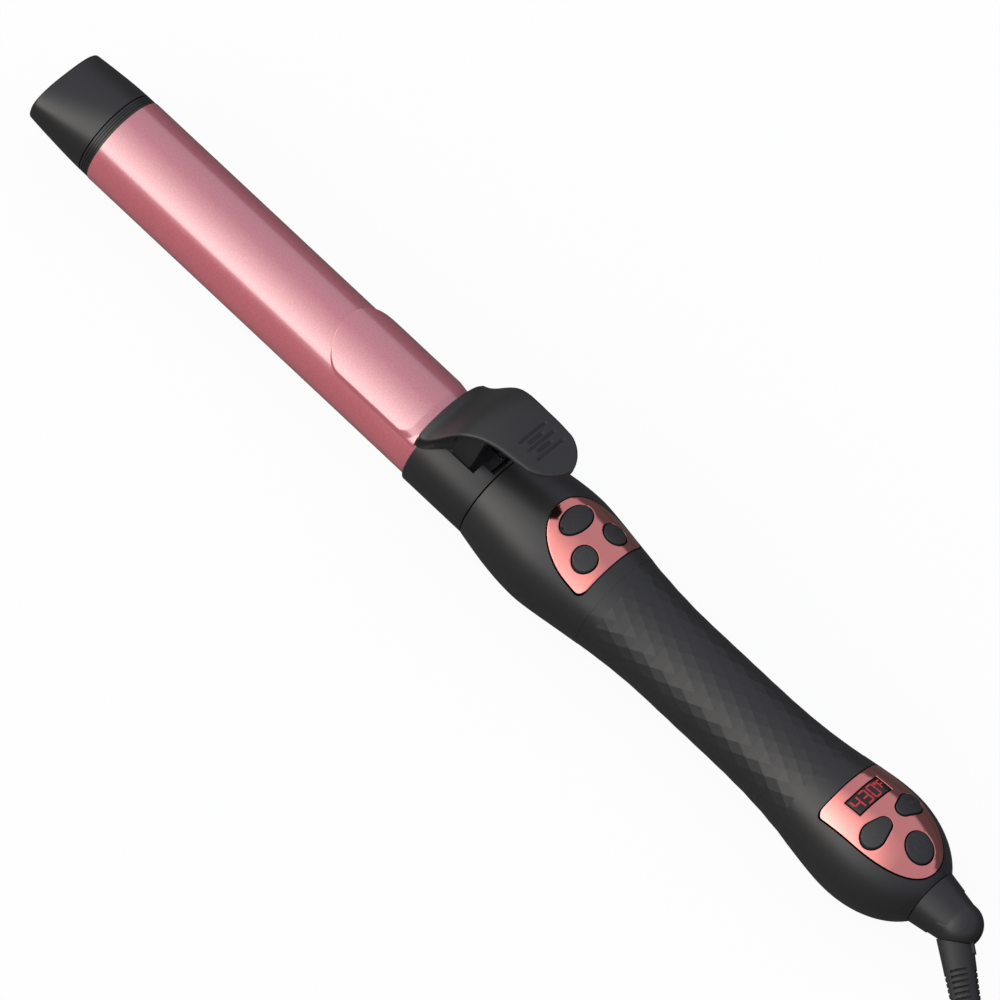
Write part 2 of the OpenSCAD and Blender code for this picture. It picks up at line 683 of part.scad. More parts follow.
// The lever rises from a rim round the collar to a flat pad over the handle
function along(x) = min(1, max(0, (x - rim_x - rim_band) / (pad_x - rim_x - rim_band)));
function edge_z(x) = rim_edge_z + (pad_z - rim_edge_z) * (1 - pow(1 - pow(along(x), 1.1), 3.6));
function tongue(x) = x < pad_x ? 1 : pow(1 - pow(min(0.999, (x - pad_x) / (pad_end - pad_x)), 1.6), 0.6);
function half_w(x) = (rim_half - (rim_half - pad_w / 2) * ease(along(x))) * tongue(x);
function crown(x) = (rim_r - rim_edge_z) * pow(1 - along(x), 4) + 0.35 * max(0.3, tongue(x));
function bow(x) = (pow(half_w(x), 2) + pow(crown(x), 2)) / (2 * crown(x));
function lever_top(x, y) = edge_z(x) + crown(x) - bow(x) + sqrt(max(0, pow(bow(x), 2) - y * y));
lever_across = 14;
function corner_cut(x) = rim_corner * (1 - sqrt(1 - pow(1 - min(1, (x - rim_x) / rim_corner), 2)));
function lever_loop(x) = let (r = bow(x), middle = edge_z(x) + crown(x) - r,
    reach = asin(min(1, (half_w(x) - corner_cut(x)) / r)))
    concat([for (j = [0 : lever_across]) let (a = reach * (2 * j / lever_across - 1))
            [x, r * sin(a), middle + r * cos(a)]],
        [for (j = [lever_across : -1 : 0]) let (a = reach * (2 * j / lever_across - 1))
            [x, (r - lever_t) * sin(a), middle + (r - lever_t) * cos(a)]]);
spring_arm = lever_top(pin_x + spring_r, spring_r) - pin_z - lever_t - 0.9;

module lever_shell() loft([for (x = concat([for (u = [0, 0.12, 0.35, 0.65]) rim_x + rim_corner * u],
    stations(rim_x + rim_corner, pad_x, 1.7),
    [for (u = [0.2, 0.4, 0.58, 0.74, 0.86, 0.95, 1]) pad_x + (pad_end - pad_x) * u])) lever_loop(x)]);

module lever_web(side) translate([0, side * web_mid + web_t / 2, 0]) rotate([90, 0, 0]) linear_extrude(web_t)
    difference() {
        union() {
            translate([web_end - web_round, pin_z - 0.3 + web_round]) circle(r = web_round);
            polygon(concat([[pin_x + 2, pin_z - 2.4], [web_end - web_round - 0.4, pin_z - 0.3], [web_end, pin_z - 0.3 + web_round]],
                [for (x = [web_end + 2 : -2 : pin_x - 3]) [x, lever_top(x, web_mid) - lever_t / 2]],
                [[pin_x - 2.9, pin_z + 1]]));
            translate([pin_x, pin_z]) circle(r = 3.1);
        }
        translate([pin_x, pin_z]) circle(r = pin_r + running);
    }

// A groove across the pad, level with the pad's surface where it lies
module thumb_groove(x, length) translate([x, 0, lever_top(x, length / 3) + 1.2 - groove_d])
    rotate([90, 0, 0]) cylinder(h = length, r = 1.2, center = true, $fn = 24);

module thumb_lever() place() color([0.14, 0.14, 0.145]) difference() {
    union() {
        lever_shell();
        for (side = [-1, 1]) lever_web(side);
    }
    for (i = [0 : 2]) thumb_groove(2.6 + i * groove_pitch, groove_len);
    for (i = [0 : 1]) thumb_groove(2.6 + (i + 0.5) * groove_pitch, groove_len * 0.45);
    rivets(1 + fit);
}

// Handle shells with their ribs and bosses

boss_places = [[9, 12.6], [9, -12.6], [64, 0], [low_front - 4.5, 0]];
boss_r = 3;
module bosses(low, high) for (p = boss_places) translate([p[0], p[1], low]) cylinder(h = high - low, r = boss_r);
post_places = [[22.4, 8.2], [22.4, -8.2], [46, 0], [low_front + 4.5, 10.6], [low_front + 4.5, -10.6], [power_x - 7.1, 0]];
main_front = 70;
main_back = low_front - 11.5;
screw_seat = 8;
screw_head = 1.4;
screw_grip = 6;
module posts() for (p = post_places) translate([p[0], p[1], board_z]) cylinder(h = 15, r = 1.9);

module upper_ribs() {
    bosses(0, 25);
    posts();
}

module lower_ribs() {
    bosses(-25, 0);
    for (x = [drum_x + 1.5, drum_end - 3.5]) block([x, x + 1.6], [-7, 7], [-20, -14.3]);
    for (x = [bracket_x - 1.6, bracket_x + bracket_t + seat])
        for (side = [-1, 1]) block([x, x + 1.5], side > 0 ? [8, 20] : [-20, -8], [-20, -1]);
    for (x = [main_front + 4, main_back - 6]) for (side = [-1, 1])
        block([x, x + 2], side > 0 ? [8, 18] : [-18, -8], [-14, -3.1]);
}

module shell_bores() {
    rod(-1, cavity_x + 1.1, bearing_out + fit);
    rod(cavity_end - 0.2, 10, neck_r + running);
}

bearing_out = 9;
module button_holes(grow) {
    oval_outline(grow);
    for (side = [-1, 1]) round_outline(side, grow);
    for (side = [-1, 1]) drop_outline(side, grow);
    power_outline(grow);
    window_outline(grow);
}

module upper_shell() place() color([0.12, 0.12, 0.125]) difference() {
    handle_outer();
    half_space(false);
    difference() {
        cavity();
        upper_ribs();
    }
    upper_pocket();
    lower_pocket();
    up_through(6, 25) button_holes(panel_gap);
    shell_bores();
    for (p = boss_places) translate([p[0], p[1], -1]) cylinder(h = 8, r = 1.15 + fit);
    for (p = post_places) translate([p[0], p[1], board_z - 1]) cylinder(h = 4.5, r = 0.8 + fit);
}

module lower_shell() place() color([0.12, 0.12, 0.125]) difference() {
    handle_outer();
    half_space(true);
    difference() {
        cavity();
        lower_ribs();
    }
    shell_bores();
    for (p = boss_places) translate([p[0], p[1], -axis_z - 4]) cylinder(h = axis_z + 5, r = 1.3);
    for (p = boss_places) translate([p[0], p[1], -axis_z - 4]) cylinder(h = axis_z + 4 - screw_seat, r = 2.2);
}

module housing_screws() place() color([0.7, 0.7, 0.72]) for (p = boss_places) translate([p[0], p[1], 0]) {
    translate([0, 0, -screw_seat - screw_head]) cylinder(h = screw_head - fit, r = 2.1);
    translate([0, 0, -screw_seat - 0.5]) cylinder(h = screw_seat + 0.5 + screw_grip, r = 1.15);
}

module board_screws() place() color([0.75, 0.75, 0.78]) for (p = post_places) translate([p[0], p[1], 0]) {
    translate([0, 0, board_z - board_t - 1]) cylinder(h = 1 - fit, r = 1.5);
    translate([0, 0, board_z - board_t - 0.5]) cylinder(h = 4.5, r = 0.8);
}

module front_bearing() place() color([0.85, 0.84, 0.8]) difference() {
    union() {
        rod(turn_gap + 0.2, bulkhead, bearing_out);
        rod(cavity_x + fit, 2.6, bearing_out + 2);
    }
    rod(-1, 20, shaft_r + running);
}

module rear_bearing() place() color([0.8, 0.68, 0.4])
    tube(bracket_x, bracket_t, bearing_r, shaft_rear_r + running);

module motor_bracket() place() color([0.6, 0.62, 0.64]) difference() {
    rod(bracket_x, bracket_t, handle_r(bracket_x + bracket_t) - wall - seat);
    block([bracket_x - 1, bracket_x + bracket_t + 1], [-30, 30], [7, 30]);
    rod(bracket_x - 1, bracket_t + 2, bearing_r + fit);
    translate([0, 0, motor_z]) rod(bracket_x - 1, bracket_t + 2, 2.1);
}

module motor_shape(x, length) translate([0, 0, motor_z]) intersection() {
    rod(x, length, motor_d / 2);
    block([x - 1, x + length + 1], [-10, 10], [-motor_flat / 2, motor_flat / 2]);
}

module gearbox_case() place() color([0.8, 0.65, 0.35]) {
    motor_shape(gearbox_x, 1);
    motor_shape(gearbox_x + gearbox_len - 1, 1);
    translate([0, 0, motor_z]) {
        for (side = [-1, 1], up = [-1, 1]) translate([0, side * 4, up * 3.2]) rod(gearbox_x, gearbox_len, 0.8);
        for (i = [0 : 3]) translate([0, i % 2 == 0 ? 0.6 : -0.6, 0]) rod(gearbox_x + 1.2 + i * 1.75, 1.3, 2.9);
        rod(gearbox_x, gearbox_len, 1);
    }
}

module motor_can() place() color([0.72, 0.73, 0.75]) {
    motor_shape(gearbox_x + gearbox_len + fit, motor_len);
    translate([0, 0, motor_z]) rod(gearbox_x + gearbox_len + motor_len, 1.2, 2.5);
}

// Panels, window and buttons

module upper_panel() place() color([0.86, 0.5, 0.47]) difference() {
    intersection() {
        up_through(6, 30) upper_outline(0);
        core(up_front - 3, up_back + 3, 2, -0.1);
    }
    core(up_front - 4, up_back + 4, 2, panel_t);
    up_through(4, 31) button_holes(panel_gap);
}

module lower_panel() place() color([0.86, 0.5, 0.47]) difference() {
    intersection() {
        up_through(4, 30) lower_outline(0);
        core(low_front - 3, tail_x, 2, -0.1);
    }
    core(low_front - 4, tail_x + 0.2, 2, panel_t);
    up_through(3, 31) button_holes(panel_gap);
}

module display_window() place() color([0.25, 0.05, 0.05]) difference() {
    intersection() {
        up_through(10, 30) window_outline(0);
        core(window_x - 6, window_x + 6, 1.5, -0.05);
    }
    core(window_x - 7, window_x + 7, 1.5, 1);
}

module display_module() place() color([0.2, 0.2, 0.22]) {
    up_through(board_z, 17.2) window_outline(-0.1);
    up_through(board_z, 14) window_outline(0.6);
}

// A button cap follows the handle's surface, with two tabs that stop it under the shell
module button(x, half_x, y, low) {
    intersection() {
        up_through(low, 30) children();
        core(x - half_x - 4, x + half_x + 4, 1.5, -button_proud);
    }
    translate([x, y, board_z + switch_h + button_travel + 0.25]) cylinder(h = low - board_z - switch_h - button_travel, r = 1.8);
}

cap_color = [0.16, 0.16, 0.165];
module curl_button() place() color(cap_color) button(oval_x, oval_l / 2, 0, 15) oval_outline(0);
module left_button() place() color(cap_color) button(round_x, round_d / 2, -round_y, 13.6) round_outline(-1, 0);
module right_button() place() color(cap_color) button(round_x, round_d / 2, round_y, 13.6) round_outline(1, 0);
module heat_up_button() place() color(cap_color) button(drop_x, 4.2, -8, 13.6) drop_outline(-1, 0);
module heat_down_button() place() color(cap_color) button(drop_x, 4.2, 8, 13.6) drop_outline(1, 0);
module power_button() place() color(cap_color) button(power_x, power_d / 2, 0, 13.2) power_outline(0);

module board(points, low) up_through(low, low + board_t) polygon(points);

module upper_board() place() color([0.1, 0.35, 0.2]) difference() {
    board([[20.5, -10], [48, -10], [48, 10], [20.5, 10]], board_z - board_t);
    for (p = post_places) translate([p[0], p[1], 0]) cylinder(h = 20, r = 0.8 + fit);
}

module lower_board() place() color([0.1, 0.35, 0.2]) difference() {
    board([[low_front + 2, -12.5], [drop_x + 4.4, -12.5], [power_x + 3.7, -6], [power_x + 3.7, 6],
        [drop_x + 4.4, 12.5], [low_front + 2, 12.5]], board_z - board_t);
    for (p = post_places) translate([p[0], p[1], 0]) cylinder(h = 20, r = 0.8 + fit);
}

module tact_switch(x, y) {
    block([x - 3, x + 3], [y - 3, y + 3], [board_z, board_z + switch_h - 0.6]);
    translate([x, y, board_z]) cylinder(h = switch_h, r = 1.6);
}

module upper_switches() place() color([0.2, 0.2, 0.2]) {
    tact_switch(oval_x, 0);
    for (side = [-1, 1]) tact_switch(round_x, side * round_y);
}

module lower_switches() place() color([0.2, 0.2, 0.2]) {
    for (side = [-1, 1]) tact_switch(drop_x, side * 8);
    tact_switch(power_x, 0);
}

module main_board() place() color([0.1, 0.3, 0.22])
    board([[main_front, -10.5], [main_back, -10.5], [main_back, 10.5], [main_front, 10.5]], -3);

module power_parts() place() color([0.75, 0.65, 0.25]) {
    block([main_front + 6, main_front + 20], [-6, 6], [-3 + board_t, 6]);
    translate([main_front + 28, 0, -3 + board_t]) cylinder(h = 9, r = 4);
    block([main_front + 36, main_front + 48], [-4, 4], [-3 + board_t, 4]);
    block([main_back - 14, main_back - 12], [-8, 8], [-3 + board_t, 5]);
}

// Swivel, boot and cord

module at_swivel() translate([pivot_x, 0, 0]) rotate([swivel_roll, 0, 0]) children();
module at_boot() at_swivel() rotate([0, 0, -boot_bend]) children();

// The knuckle: a ball with two round flats, slotted for the boot's tongue over its whole swing
module swivel_body() place() color([0.12, 0.12, 0.125]) difference() {
    union() {
        turned([[tail_x + 0.3, 0], [tail_x + 0.3, tail_r], [cone_end, cone_r1], [cone_end, 0]]);
        rod(cavity_end - 3, tail_x + 1 - cavity_end + 3, neck_r);
        translate([pivot_x, 0, 0]) sphere(r = knuckle_r);
    }
    at_swivel() {
        for (up = [0, 1]) mirror([0, 0, up]) translate([0, 0, knuckle_t / 2]) cylinder(h = 5, r = 5.4);
        block([-tongue_r - 0.4, 12], [-12, 12], [-knuckle_slot / 2, knuckle_slot / 2]);
        cylinder(h = 30, r = boot_pin_r + fit, center = true);
    }
    rod(cavity_end - 5, 11, 3);
    tube(cavity_end - 1.5 - fit, 1 + 2 * fit, neck_r + 2, neck_r - 0.8);
}

module swivel_clip() place() color([0.6, 0.6, 0.62]) difference() {
    tube(cavity_end - 1.5, 1, neck_r + 2, neck_r - 0.75);
    block([cavity_end - 3, cavity_end], [-2, 2], [-12, 0]);
}

module boot_pin() place() color([0.12, 0.12, 0.125]) at_swivel()
    cylinder(h = knuckle_t - 0.5, r = boot_pin_r, center = true);

function boot_r(x) = boot_r0 + (boot_r1 - boot_r0) * (x - 8) / (boot_len - 8);
rung_x = 14.4;

// The boot: a tongue on the pin, an arm through the slot, and a tapering round sleeve
module boot_solid() {
    cylinder(h = tongue_t, r = tongue_r, center = true);
    block([0, knuckle_r + 2], [-boot_shift - 3.6, 3.6], [-tongue_t / 2, tongue_t / 2]);
    difference() {
        translate([2, -boot_shift, 0]) rotate([0, 90, 0]) cylinder(h = boot_len - 2, r1 = boot_r(2), r2 = boot_r1);
        sphere(r = knuckle_r + boot_gap);
    }
}

module ladder() for (i = [0 : rungs - 1]) let (x = rung_x + i * rung_pitch, r = boot_r(x)) {
    for (up = [0, 1]) mirror([0, 0, up]) block([x, x + 0.85], [-0.52 * r, 0.52 * r], [r - 1.5, r + 3]);
    if (i < rungs - 1) for (side = [0, 1]) mirror([0, side, 0])
        block([x + 0.95, x + 1.75], [r - 0.85, r + 3], [-0.45 * r, 0.45 * r]);
}

module cord_boot() place() color([0.11, 0.11, 0.115]) at_boot() difference() {
    boot_solid();
    cylinder(h = 30, r = boot_pin_r + running, center = true);
    translate([0, -boot_shift, 0]) ladder();
}

function turn_about(v) = let (b = boot_bend, s = swivel_roll)
    [v[0] * cos(b) + v[1] * sin(b), (v[1] * cos(b) - v[0] * sin(b)) * cos(s) - v[2] * sin(s),
     (v[1] * cos(b) - v[0] * sin(b)) * sin(s) + v[2] * cos(s)];
boot_end = [pivot_x, 0, axis_z] + turn_about([boot_len, -boot_shift, 0]);
lead_start = boot_end + cord_d * turn_about([1, 0, 0]);
lead_path = concat([boot_end, boot_end + 0.6 * (lead_start - boot_end)],
    through(concat([lead_start], lead_points), 2));

// The hank winds in and out through its layers, and climbs a layer along the run where it turns back
function hank_point(i) =
    let (turns = i / 24, layer = min(hank_layers - 1, floor(turns / layer_turns)),
        done = turns - layer * layer_turns, wound = max(0, done - 0.25),
        a = hank_inner + hank_pitch * (layer % 2 == 0 ? spread - wound : wound),
        lift = layer + (layer == 0 ? 0 : min(1, done / 0.25) - 1),
        phase = turns - floor(turns), quarter = floor(phase * 4 + 0.001), u = phase * 4 - quarter,
        away = quarter < 2 ? 1 : -1, run = (u - 0.5) * hank_run,
        drawn = 1 - (1 - hank_waist) * pow(cos(180 * (u - 0.5)), 2))
    quarter % 2 == 0
        ? [hank_x + away * run, hank_y - away * a * drawn, hank_z + hank_layer * lift]
        : [hank_x + away * (hank_run / 2 + a * sin(180 * u)), hank_y - away * a * cos(180 * u),
            hank_z + hank_layer * lift];
hank_turns = layer_turns * hank_layers;
hank_coil = [for (i = [0 : 24 * hank_turns]) hank_point(i)];
hank_exit = [for (i = [1 : 5]) [hank_x + (i / 6 - 0.5) * hank_run,
    hank_y - hank_outer * (1 - (1 - hank_waist) * pow(cos(180 * (i / 6 - 0.5)), 2)), top_z]];
hank_path = concat(hank_coil, hank_exit, [[hank_x + hank_run / 2, hank_y - hank_outer, top_z]],
    through(concat([tail_points[0]], tail_points), 1), [[plug_x, plug_y, plug_z]]);

// Least distance between stretches of the hank that aren't neighbours, less the cord's own width
function self_gap(p) = min([for (i = [0 : len(p) - 2], j = [i + 5 : len(p) - 2])
    span_gap(p[i], p[i + 1], p[j], p[j + 1])]) - cord_d;
function span_gap(a, b, c, d) = min([for (u = [0, 0.5, 1]) point_gap(a + u * (b - a), c, d)]);
function point_gap(p, a, b) = let (u = min(1, max(0, (p - a) * (b - a) / ((b - a) * (b - a)))))
    norm(p - a - u * (b - a));

// Puts cord pieces, whose points stand on the table, in the part's own frame
module on_table() translate([-mid_x, 0, 0]) children();

module cord_lead() on_table() color([0.1, 0.1, 0.105]) {
    echo(lead_length = path_length(lead_path));
    sweep(lead_path, [0, 0, 1], cord_r, 8);
}

module cord_hank() on_table() color([0.1, 0.1, 0.105]) {
    echo(hank_length = path_length(hank_path), hank_gap = self_gap(hank_path));
    sweep(hank_path, [0, 0, 1], cord_r, 6);
}

module tie_outline(grow) {
    half = hank_outer * hank_waist + cord_r + 0.25 + grow;
    low = hank_z - cord_r - 0.1 - grow;
    high = top_z + cord_r + 0.15 + grow;
    corner = 2.2 + grow;
    translate([hank_y - half + corner, low]) square([2 * (half - corner), high - low]);
    translate([hank_y - half, low + corner]) square([2 * half, high - low - 2 * corner]);
    for (y = [hank_y - half + corner, hank_y + half - corner], z = [low + corner, high - corner])
        translate([y, z]) circle(r = corner);
}

module cord_tie() on_table() color([0.08, 0.08, 0.085])
    translate([hank_x - 2.5, 0, 0]) rotate([90, 0, 90]) linear_extrude(5) difference() {
        tie_outline(tie_t - 0.15);
        tie_outline(0);
    }

module plug_plan() polygon([[0, -6], [3, -11], [6, -12.3], [plug_len - 2, -12.3], [plug_len, -10.6],
    [plug_len, 10.6], [plug_len - 2, 12.3], [6, 12.3], [3, 11], [0, 6]]);

module plug_body() on_table() color([0.1, 0.1, 0.105]) translate([plug_x, plug_y, plug_z]) {
    rotate([0, 90, 0]) cylinder(h = plug_relief + 1, r1 = cord_r + 0.7, r2 = 5.6);
    translate([plug_relief, 0, -7.2]) difference() {
        linear_extrude(14.4) plug_plan();
        for (side = [-1, 1]) translate([plug_len - 9, side * blade_gap / 2 - 0.78, 7.2 - 3.17])
            cube([10, 1.56, 6.34]);
    }
}

module plug_blades() on_table() color([0.8, 0.78, 0.7])
    translate([plug_x + plug_relief + plug_len - 8.9, plug_y, plug_z]) for (side = [-1, 1]) difference() {
        translate([0, side * blade_gap / 2 - 0.75, -3.15]) cube([8.9 + blade_len, 1.5, 6.3]);
        translate([5.9 + blade_len, side * blade_gap / 2, 0]) rotate([90, 0, 0])
            cylinder(h = 4, r = 1.5, center = true);
    }

cool_tip();
tip_ring();
barrel_tube();
heater_bar();
heater_shoes();
thermal_sensor();
heater_leads();
barrel_hub();
collar();
hub_screws();
hinge_pin();
lever_spring();
drive_shaft();
shaft_clip();
drive_gear();
slip_ring_drum();
slip_rings();
clamp_plate();
thumb_lever();
clamp_rivets();
motor_pinion();
upper_shell();
lower_shell();
front_bearing();
rear_bearing();
motor_bracket();
gearbox_case();
motor_can();
brush_block();
brushes();
upper_panel();
lower_panel();
display_window();
display_module();
upper_board();
upper_switches();
lower_board();
lower_switches();
main_board();
power_parts();
board_screws();
housing_screws();
curl_button();
left_button();
right_button();
heat_up_button();
heat_down_button();
power_button();
swivel_body();
swivel_clip();
boot_pin();
cord_boot();
cord_lead();
cord_hank();
cord_tie();
plug_body();
plug_blades();
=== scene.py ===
import json
import math

import bmesh
import bpy
from mathutils import Matrix, Vector


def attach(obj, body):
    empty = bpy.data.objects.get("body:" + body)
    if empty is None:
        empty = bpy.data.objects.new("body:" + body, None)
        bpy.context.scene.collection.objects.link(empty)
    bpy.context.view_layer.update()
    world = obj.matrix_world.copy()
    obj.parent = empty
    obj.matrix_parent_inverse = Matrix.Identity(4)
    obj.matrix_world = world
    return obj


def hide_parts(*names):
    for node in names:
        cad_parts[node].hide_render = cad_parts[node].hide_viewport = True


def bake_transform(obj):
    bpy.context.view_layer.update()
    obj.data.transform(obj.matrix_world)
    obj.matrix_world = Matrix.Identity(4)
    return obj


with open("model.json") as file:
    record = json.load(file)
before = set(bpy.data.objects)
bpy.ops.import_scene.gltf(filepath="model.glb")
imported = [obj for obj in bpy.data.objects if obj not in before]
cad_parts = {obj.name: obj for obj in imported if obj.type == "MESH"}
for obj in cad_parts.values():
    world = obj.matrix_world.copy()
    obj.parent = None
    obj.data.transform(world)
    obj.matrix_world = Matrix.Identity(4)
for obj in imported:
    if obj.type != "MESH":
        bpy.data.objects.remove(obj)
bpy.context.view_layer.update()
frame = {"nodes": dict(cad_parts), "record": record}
nodes = frame["nodes"]
print("frame loaded:", len(nodes), "nodes")

# Millimetres along the handle from its front edge and out from its own line, put in the frame's metres
frameSet = {"midX": 6.325, "axisZ": 20.7}


def at(x, y, z, s=frameSet):
    return Vector(((x - s["midX"]) / 1000, y / 1000, (z + s["axisZ"]) / 1000))


# Camera, set to the photograph's view: far off and long, so that it sees almost no perspective
cameraSet = {
    "back": Vector((0.225, -0.512, 0.829)),
    "up": Vector((-0.666, 0.540, 0.514)),
    "target": at(2.05, -0.84, -1.07),
    "distance": 4.4,
    "seenWidth": 0.3137,
    "sensor": 36.0,
    "clipEnd": 50,
}


def makeCamera(s):
    data = bpy.data.cameras.new("photoCamera")
    data.sensor_width = s["sensor"]
    data.lens = s["sensor"] * s["distance"] / s["seenWidth"]
    data.clip_end = s["clipEnd"]
    camera = bpy.data.objects.new("photoCamera", data)
    bpy.context.scene.collection.objects.link(camera)
    back = s["back"].normalized()
    right = s["up"].cross(back).normalized()
    up = back.cross(right)
    turn = Matrix((right, up, back)).transposed().to_4x4()
    camera.matrix_world = Matrix.Translation(s["target"] + s["distance"] * back) @ turn
    bpy.context.scene.camera = camera


makeCamera(cameraSet)
print("camera placed")


# Cord: out of the boot, along the table, into the tied hank, and on to the plug. Its points are place along the
# handle, place across and height over the table
cordSet = {
    "diameter": 6.0,
    "tableZ": -20.7,
    "bend": 36.5,
    "roll": 31.66,
    "pivotX": 201.2,
    "bootLength": 43.0,
    "bootShift": 2.0,
    "lead": [(244.6, -28.9, 3.32), (250, -30.9, 3.1), (255.5, -32.1, 3.15), (263, -32.5, 3.55), (273, -32.5, 4.3),
             (284, -32.5, 4.3)],
    "hankX": 330.0,
    "hankY": -3.5,
    "hankZ": 4.3,
    "run": 92.0,
    "inner": 18.0,
    "pitch": 8.8,
    "waist": 0.86,
    "layerStep": 6.5,
    "layers": 4,
    "layerTurns": 1.5,
    "stepsPerTurn": 48,
    "climb": 0.25,
    "slack": 0.001,
    "leaveSteps": 12,
    "tail": [(376, -32.5, 23.8), (388, -33, 23.8), (397, -33.5, 21.8), (407, -32, 16.3), (417, -28.4, 10.8),
             (426, -24.6, 8.4), (434, -22.5, 8)],
    "plug": (440, -22.5, 8),
    "tubeSides": 12,
    "stepsBetween": 4,
}


# The boot's heading, and the way from its pivot to the side on which its sleeve lies
def bootAxes(s):
    b = math.radians(s["bend"])
    r = math.radians(s["roll"])
    heading = Vector((math.cos(b), -math.sin(b) * math.cos(r), -math.sin(b) * math.sin(r)))
    aside = Vector((-math.sin(b), -math.cos(b) * math.cos(r), -math.cos(b) * math.sin(r)))
    return heading, aside


# A Catmull-Rom curve through the points
def smoothThrough(points, steps):
    points = [Vector(p) for p in points]
    path = []
    for i in range(len(points) - 1):
        a, b = points[max(i - 1, 0)], points[i]
        c, d = points[i + 1], points[min(i + 2, len(points) - 1)]
        for k in range(steps):
            u = k / steps
            path.append(0.5 * (2 * b + (c - a) * u + (2 * a - 5 * b + 4 * c - d) * u * u
                               + (3 * b - a - 3 * c + d) * u ** 3))
    return path + [points[-1]]


# How much a straight run draws in towards the tie; u goes from -0.5 to 0.5 along it
def drawnIn(s, u):
    return 1 - (1 - s["waist"]) * math.cos(math.pi * u) ** 2


# A point of the hank: flat oval turns, wound inwards and outwards by layers
def hankPoint(s, i):
    turns = i / s["stepsPerTurn"]
    layer = min(s["layers"] - 1, math.floor(turns / s["layerTurns"]))
    done = turns - layer * s["layerTurns"]
    wound = max(0, done - s["climb"])
    spread = s["layerTurns"] - s["climb"]
    a = s["inner"] + s["pitch"] * (spread - wound if layer % 2 == 0 else wound)
    lift = 0 if layer == 0 else layer + min(1, done / s["climb"]) - 1
    phase = turns - math.floor(turns)
    quarter = math.floor(phase * 4 + s["slack"])
    u = phase * 4 - quarter
    away = 1 if quarter < 2 else -1
    z = s["hankZ"] + s["layerStep"] * lift
    if quarter % 2 == 0:
        u -= 0.5
        return Vector((s["hankX"] + away * u * s["run"], s["hankY"] - away * a * drawnIn(s, u), z))
    return Vector((s["hankX"] + away * (s["run"] / 2 + a * math.sin(math.pi * u)),
                   s["hankY"] - away * a * math.cos(math.pi * u), z))


def cordPath(s):
    heading, aside = bootAxes(s)
    end = Vector((s["pivotX"], 0, -s["tableZ"])) + s["bootLength"] * heading + s["bootShift"] * aside
    straight = end + s["diameter"] * heading
    outer = s["inner"] + s["pitch"] * (s["layerTurns"] - s["climb"])
    topZ = s["hankZ"] + s["layerStep"] * (s["layers"] - 1)
    turns = s["layerTurns"] * s["layers"]
    coil = [hankPoint(s, i) for i in range(round(s["stepsPerTurn"] * turns) + 1)]
    leave = []
    for i in range(1, s["leaveSteps"]):
        u = i / s["leaveSteps"] - 0.5
        leave.append(Vector((s["hankX"] + u * s["run"], s["hankY"] - outer * drawnIn(s, u), topZ)))
    leave.append(Vector((s["hankX"] + s["run"] / 2, s["hankY"] - outer, topZ)))
    lead = [end] + smoothThrough([straight] + s["lead"], s["stepsBetween"])
    tail = smoothThrough(s["tail"], s["stepsBetween"])
    path = lead[:-1] + coil + leave + tail + [Vector(s["plug"])]
    return [at(p.x, p.y, p.z + s["tableZ"]) for p in path]


# A round tube of rings about a path, with closed ends
def tubeMesh(name, path, radius, sides):
    mesh = bpy.data.meshes.new(name)
    points, faces = [], []
    for i, p in enumerate(path):
        ahead = (path[min(i + 1, len(path) - 1)] - path[max(i - 1, 0)]).normalized()
        side = ahead.cross(Vector((0, 0, 1))).normalized()
        top = side.cross(ahead)
        for k in range(sides):
            a = 2 * math.pi * k / sides
            points.append(p + radius * (math.cos(a) * side + math.sin(a) * top))
    for i in range(len(path) - 1):
        for k in range(sides):
            n = (k + 1) % sides
            faces.append((i * sides + k, i * sides + n, (i + 1) * sides + n, (i + 1) * sides + k))
    faces.append(tuple(range(sides - 1, -1, -1)))
    faces.append(tuple(len(path) * sides - sides + k for k in range(sides)))
    mesh.from_pydata(points, [], faces)
    mesh.shade_smooth()
    piece = bpy.data.objects.new(name, mesh)
    bpy.context.scene.collection.objects.link(piece)
    return piece


def makeCord(s):
    path = cordPath(s)
    piece = tubeMesh("mainsCord", path, s["diameter"] / 2000, s["tubeSides"])
    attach(piece, "boot")
    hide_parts("cord_lead", "cord_hank")
    return piece


mainsCord = makeCord(cordSet)
print("cord laid")


def colour(r, g, b):
    return (r, g, b, 1)


# Shader maths as plain expressions on sockets
class Field:
    def __init__(self, paint, socket):
        self.paint = paint
        self.socket = socket

    def maths(self, operation, *values):
        return self.paint.maths(operation, *values)

    def __add__(self, other):
        return self.maths("ADD", self, other)

    def __mul__(self, other):
        return self.maths("MULTIPLY", self, other)

    def __truediv__(self, other):
        return self.maths("DIVIDE", self, other)

    def __rsub__(self, other):
        return self.maths("SUBTRACT", other, self)

    __radd__ = __add__


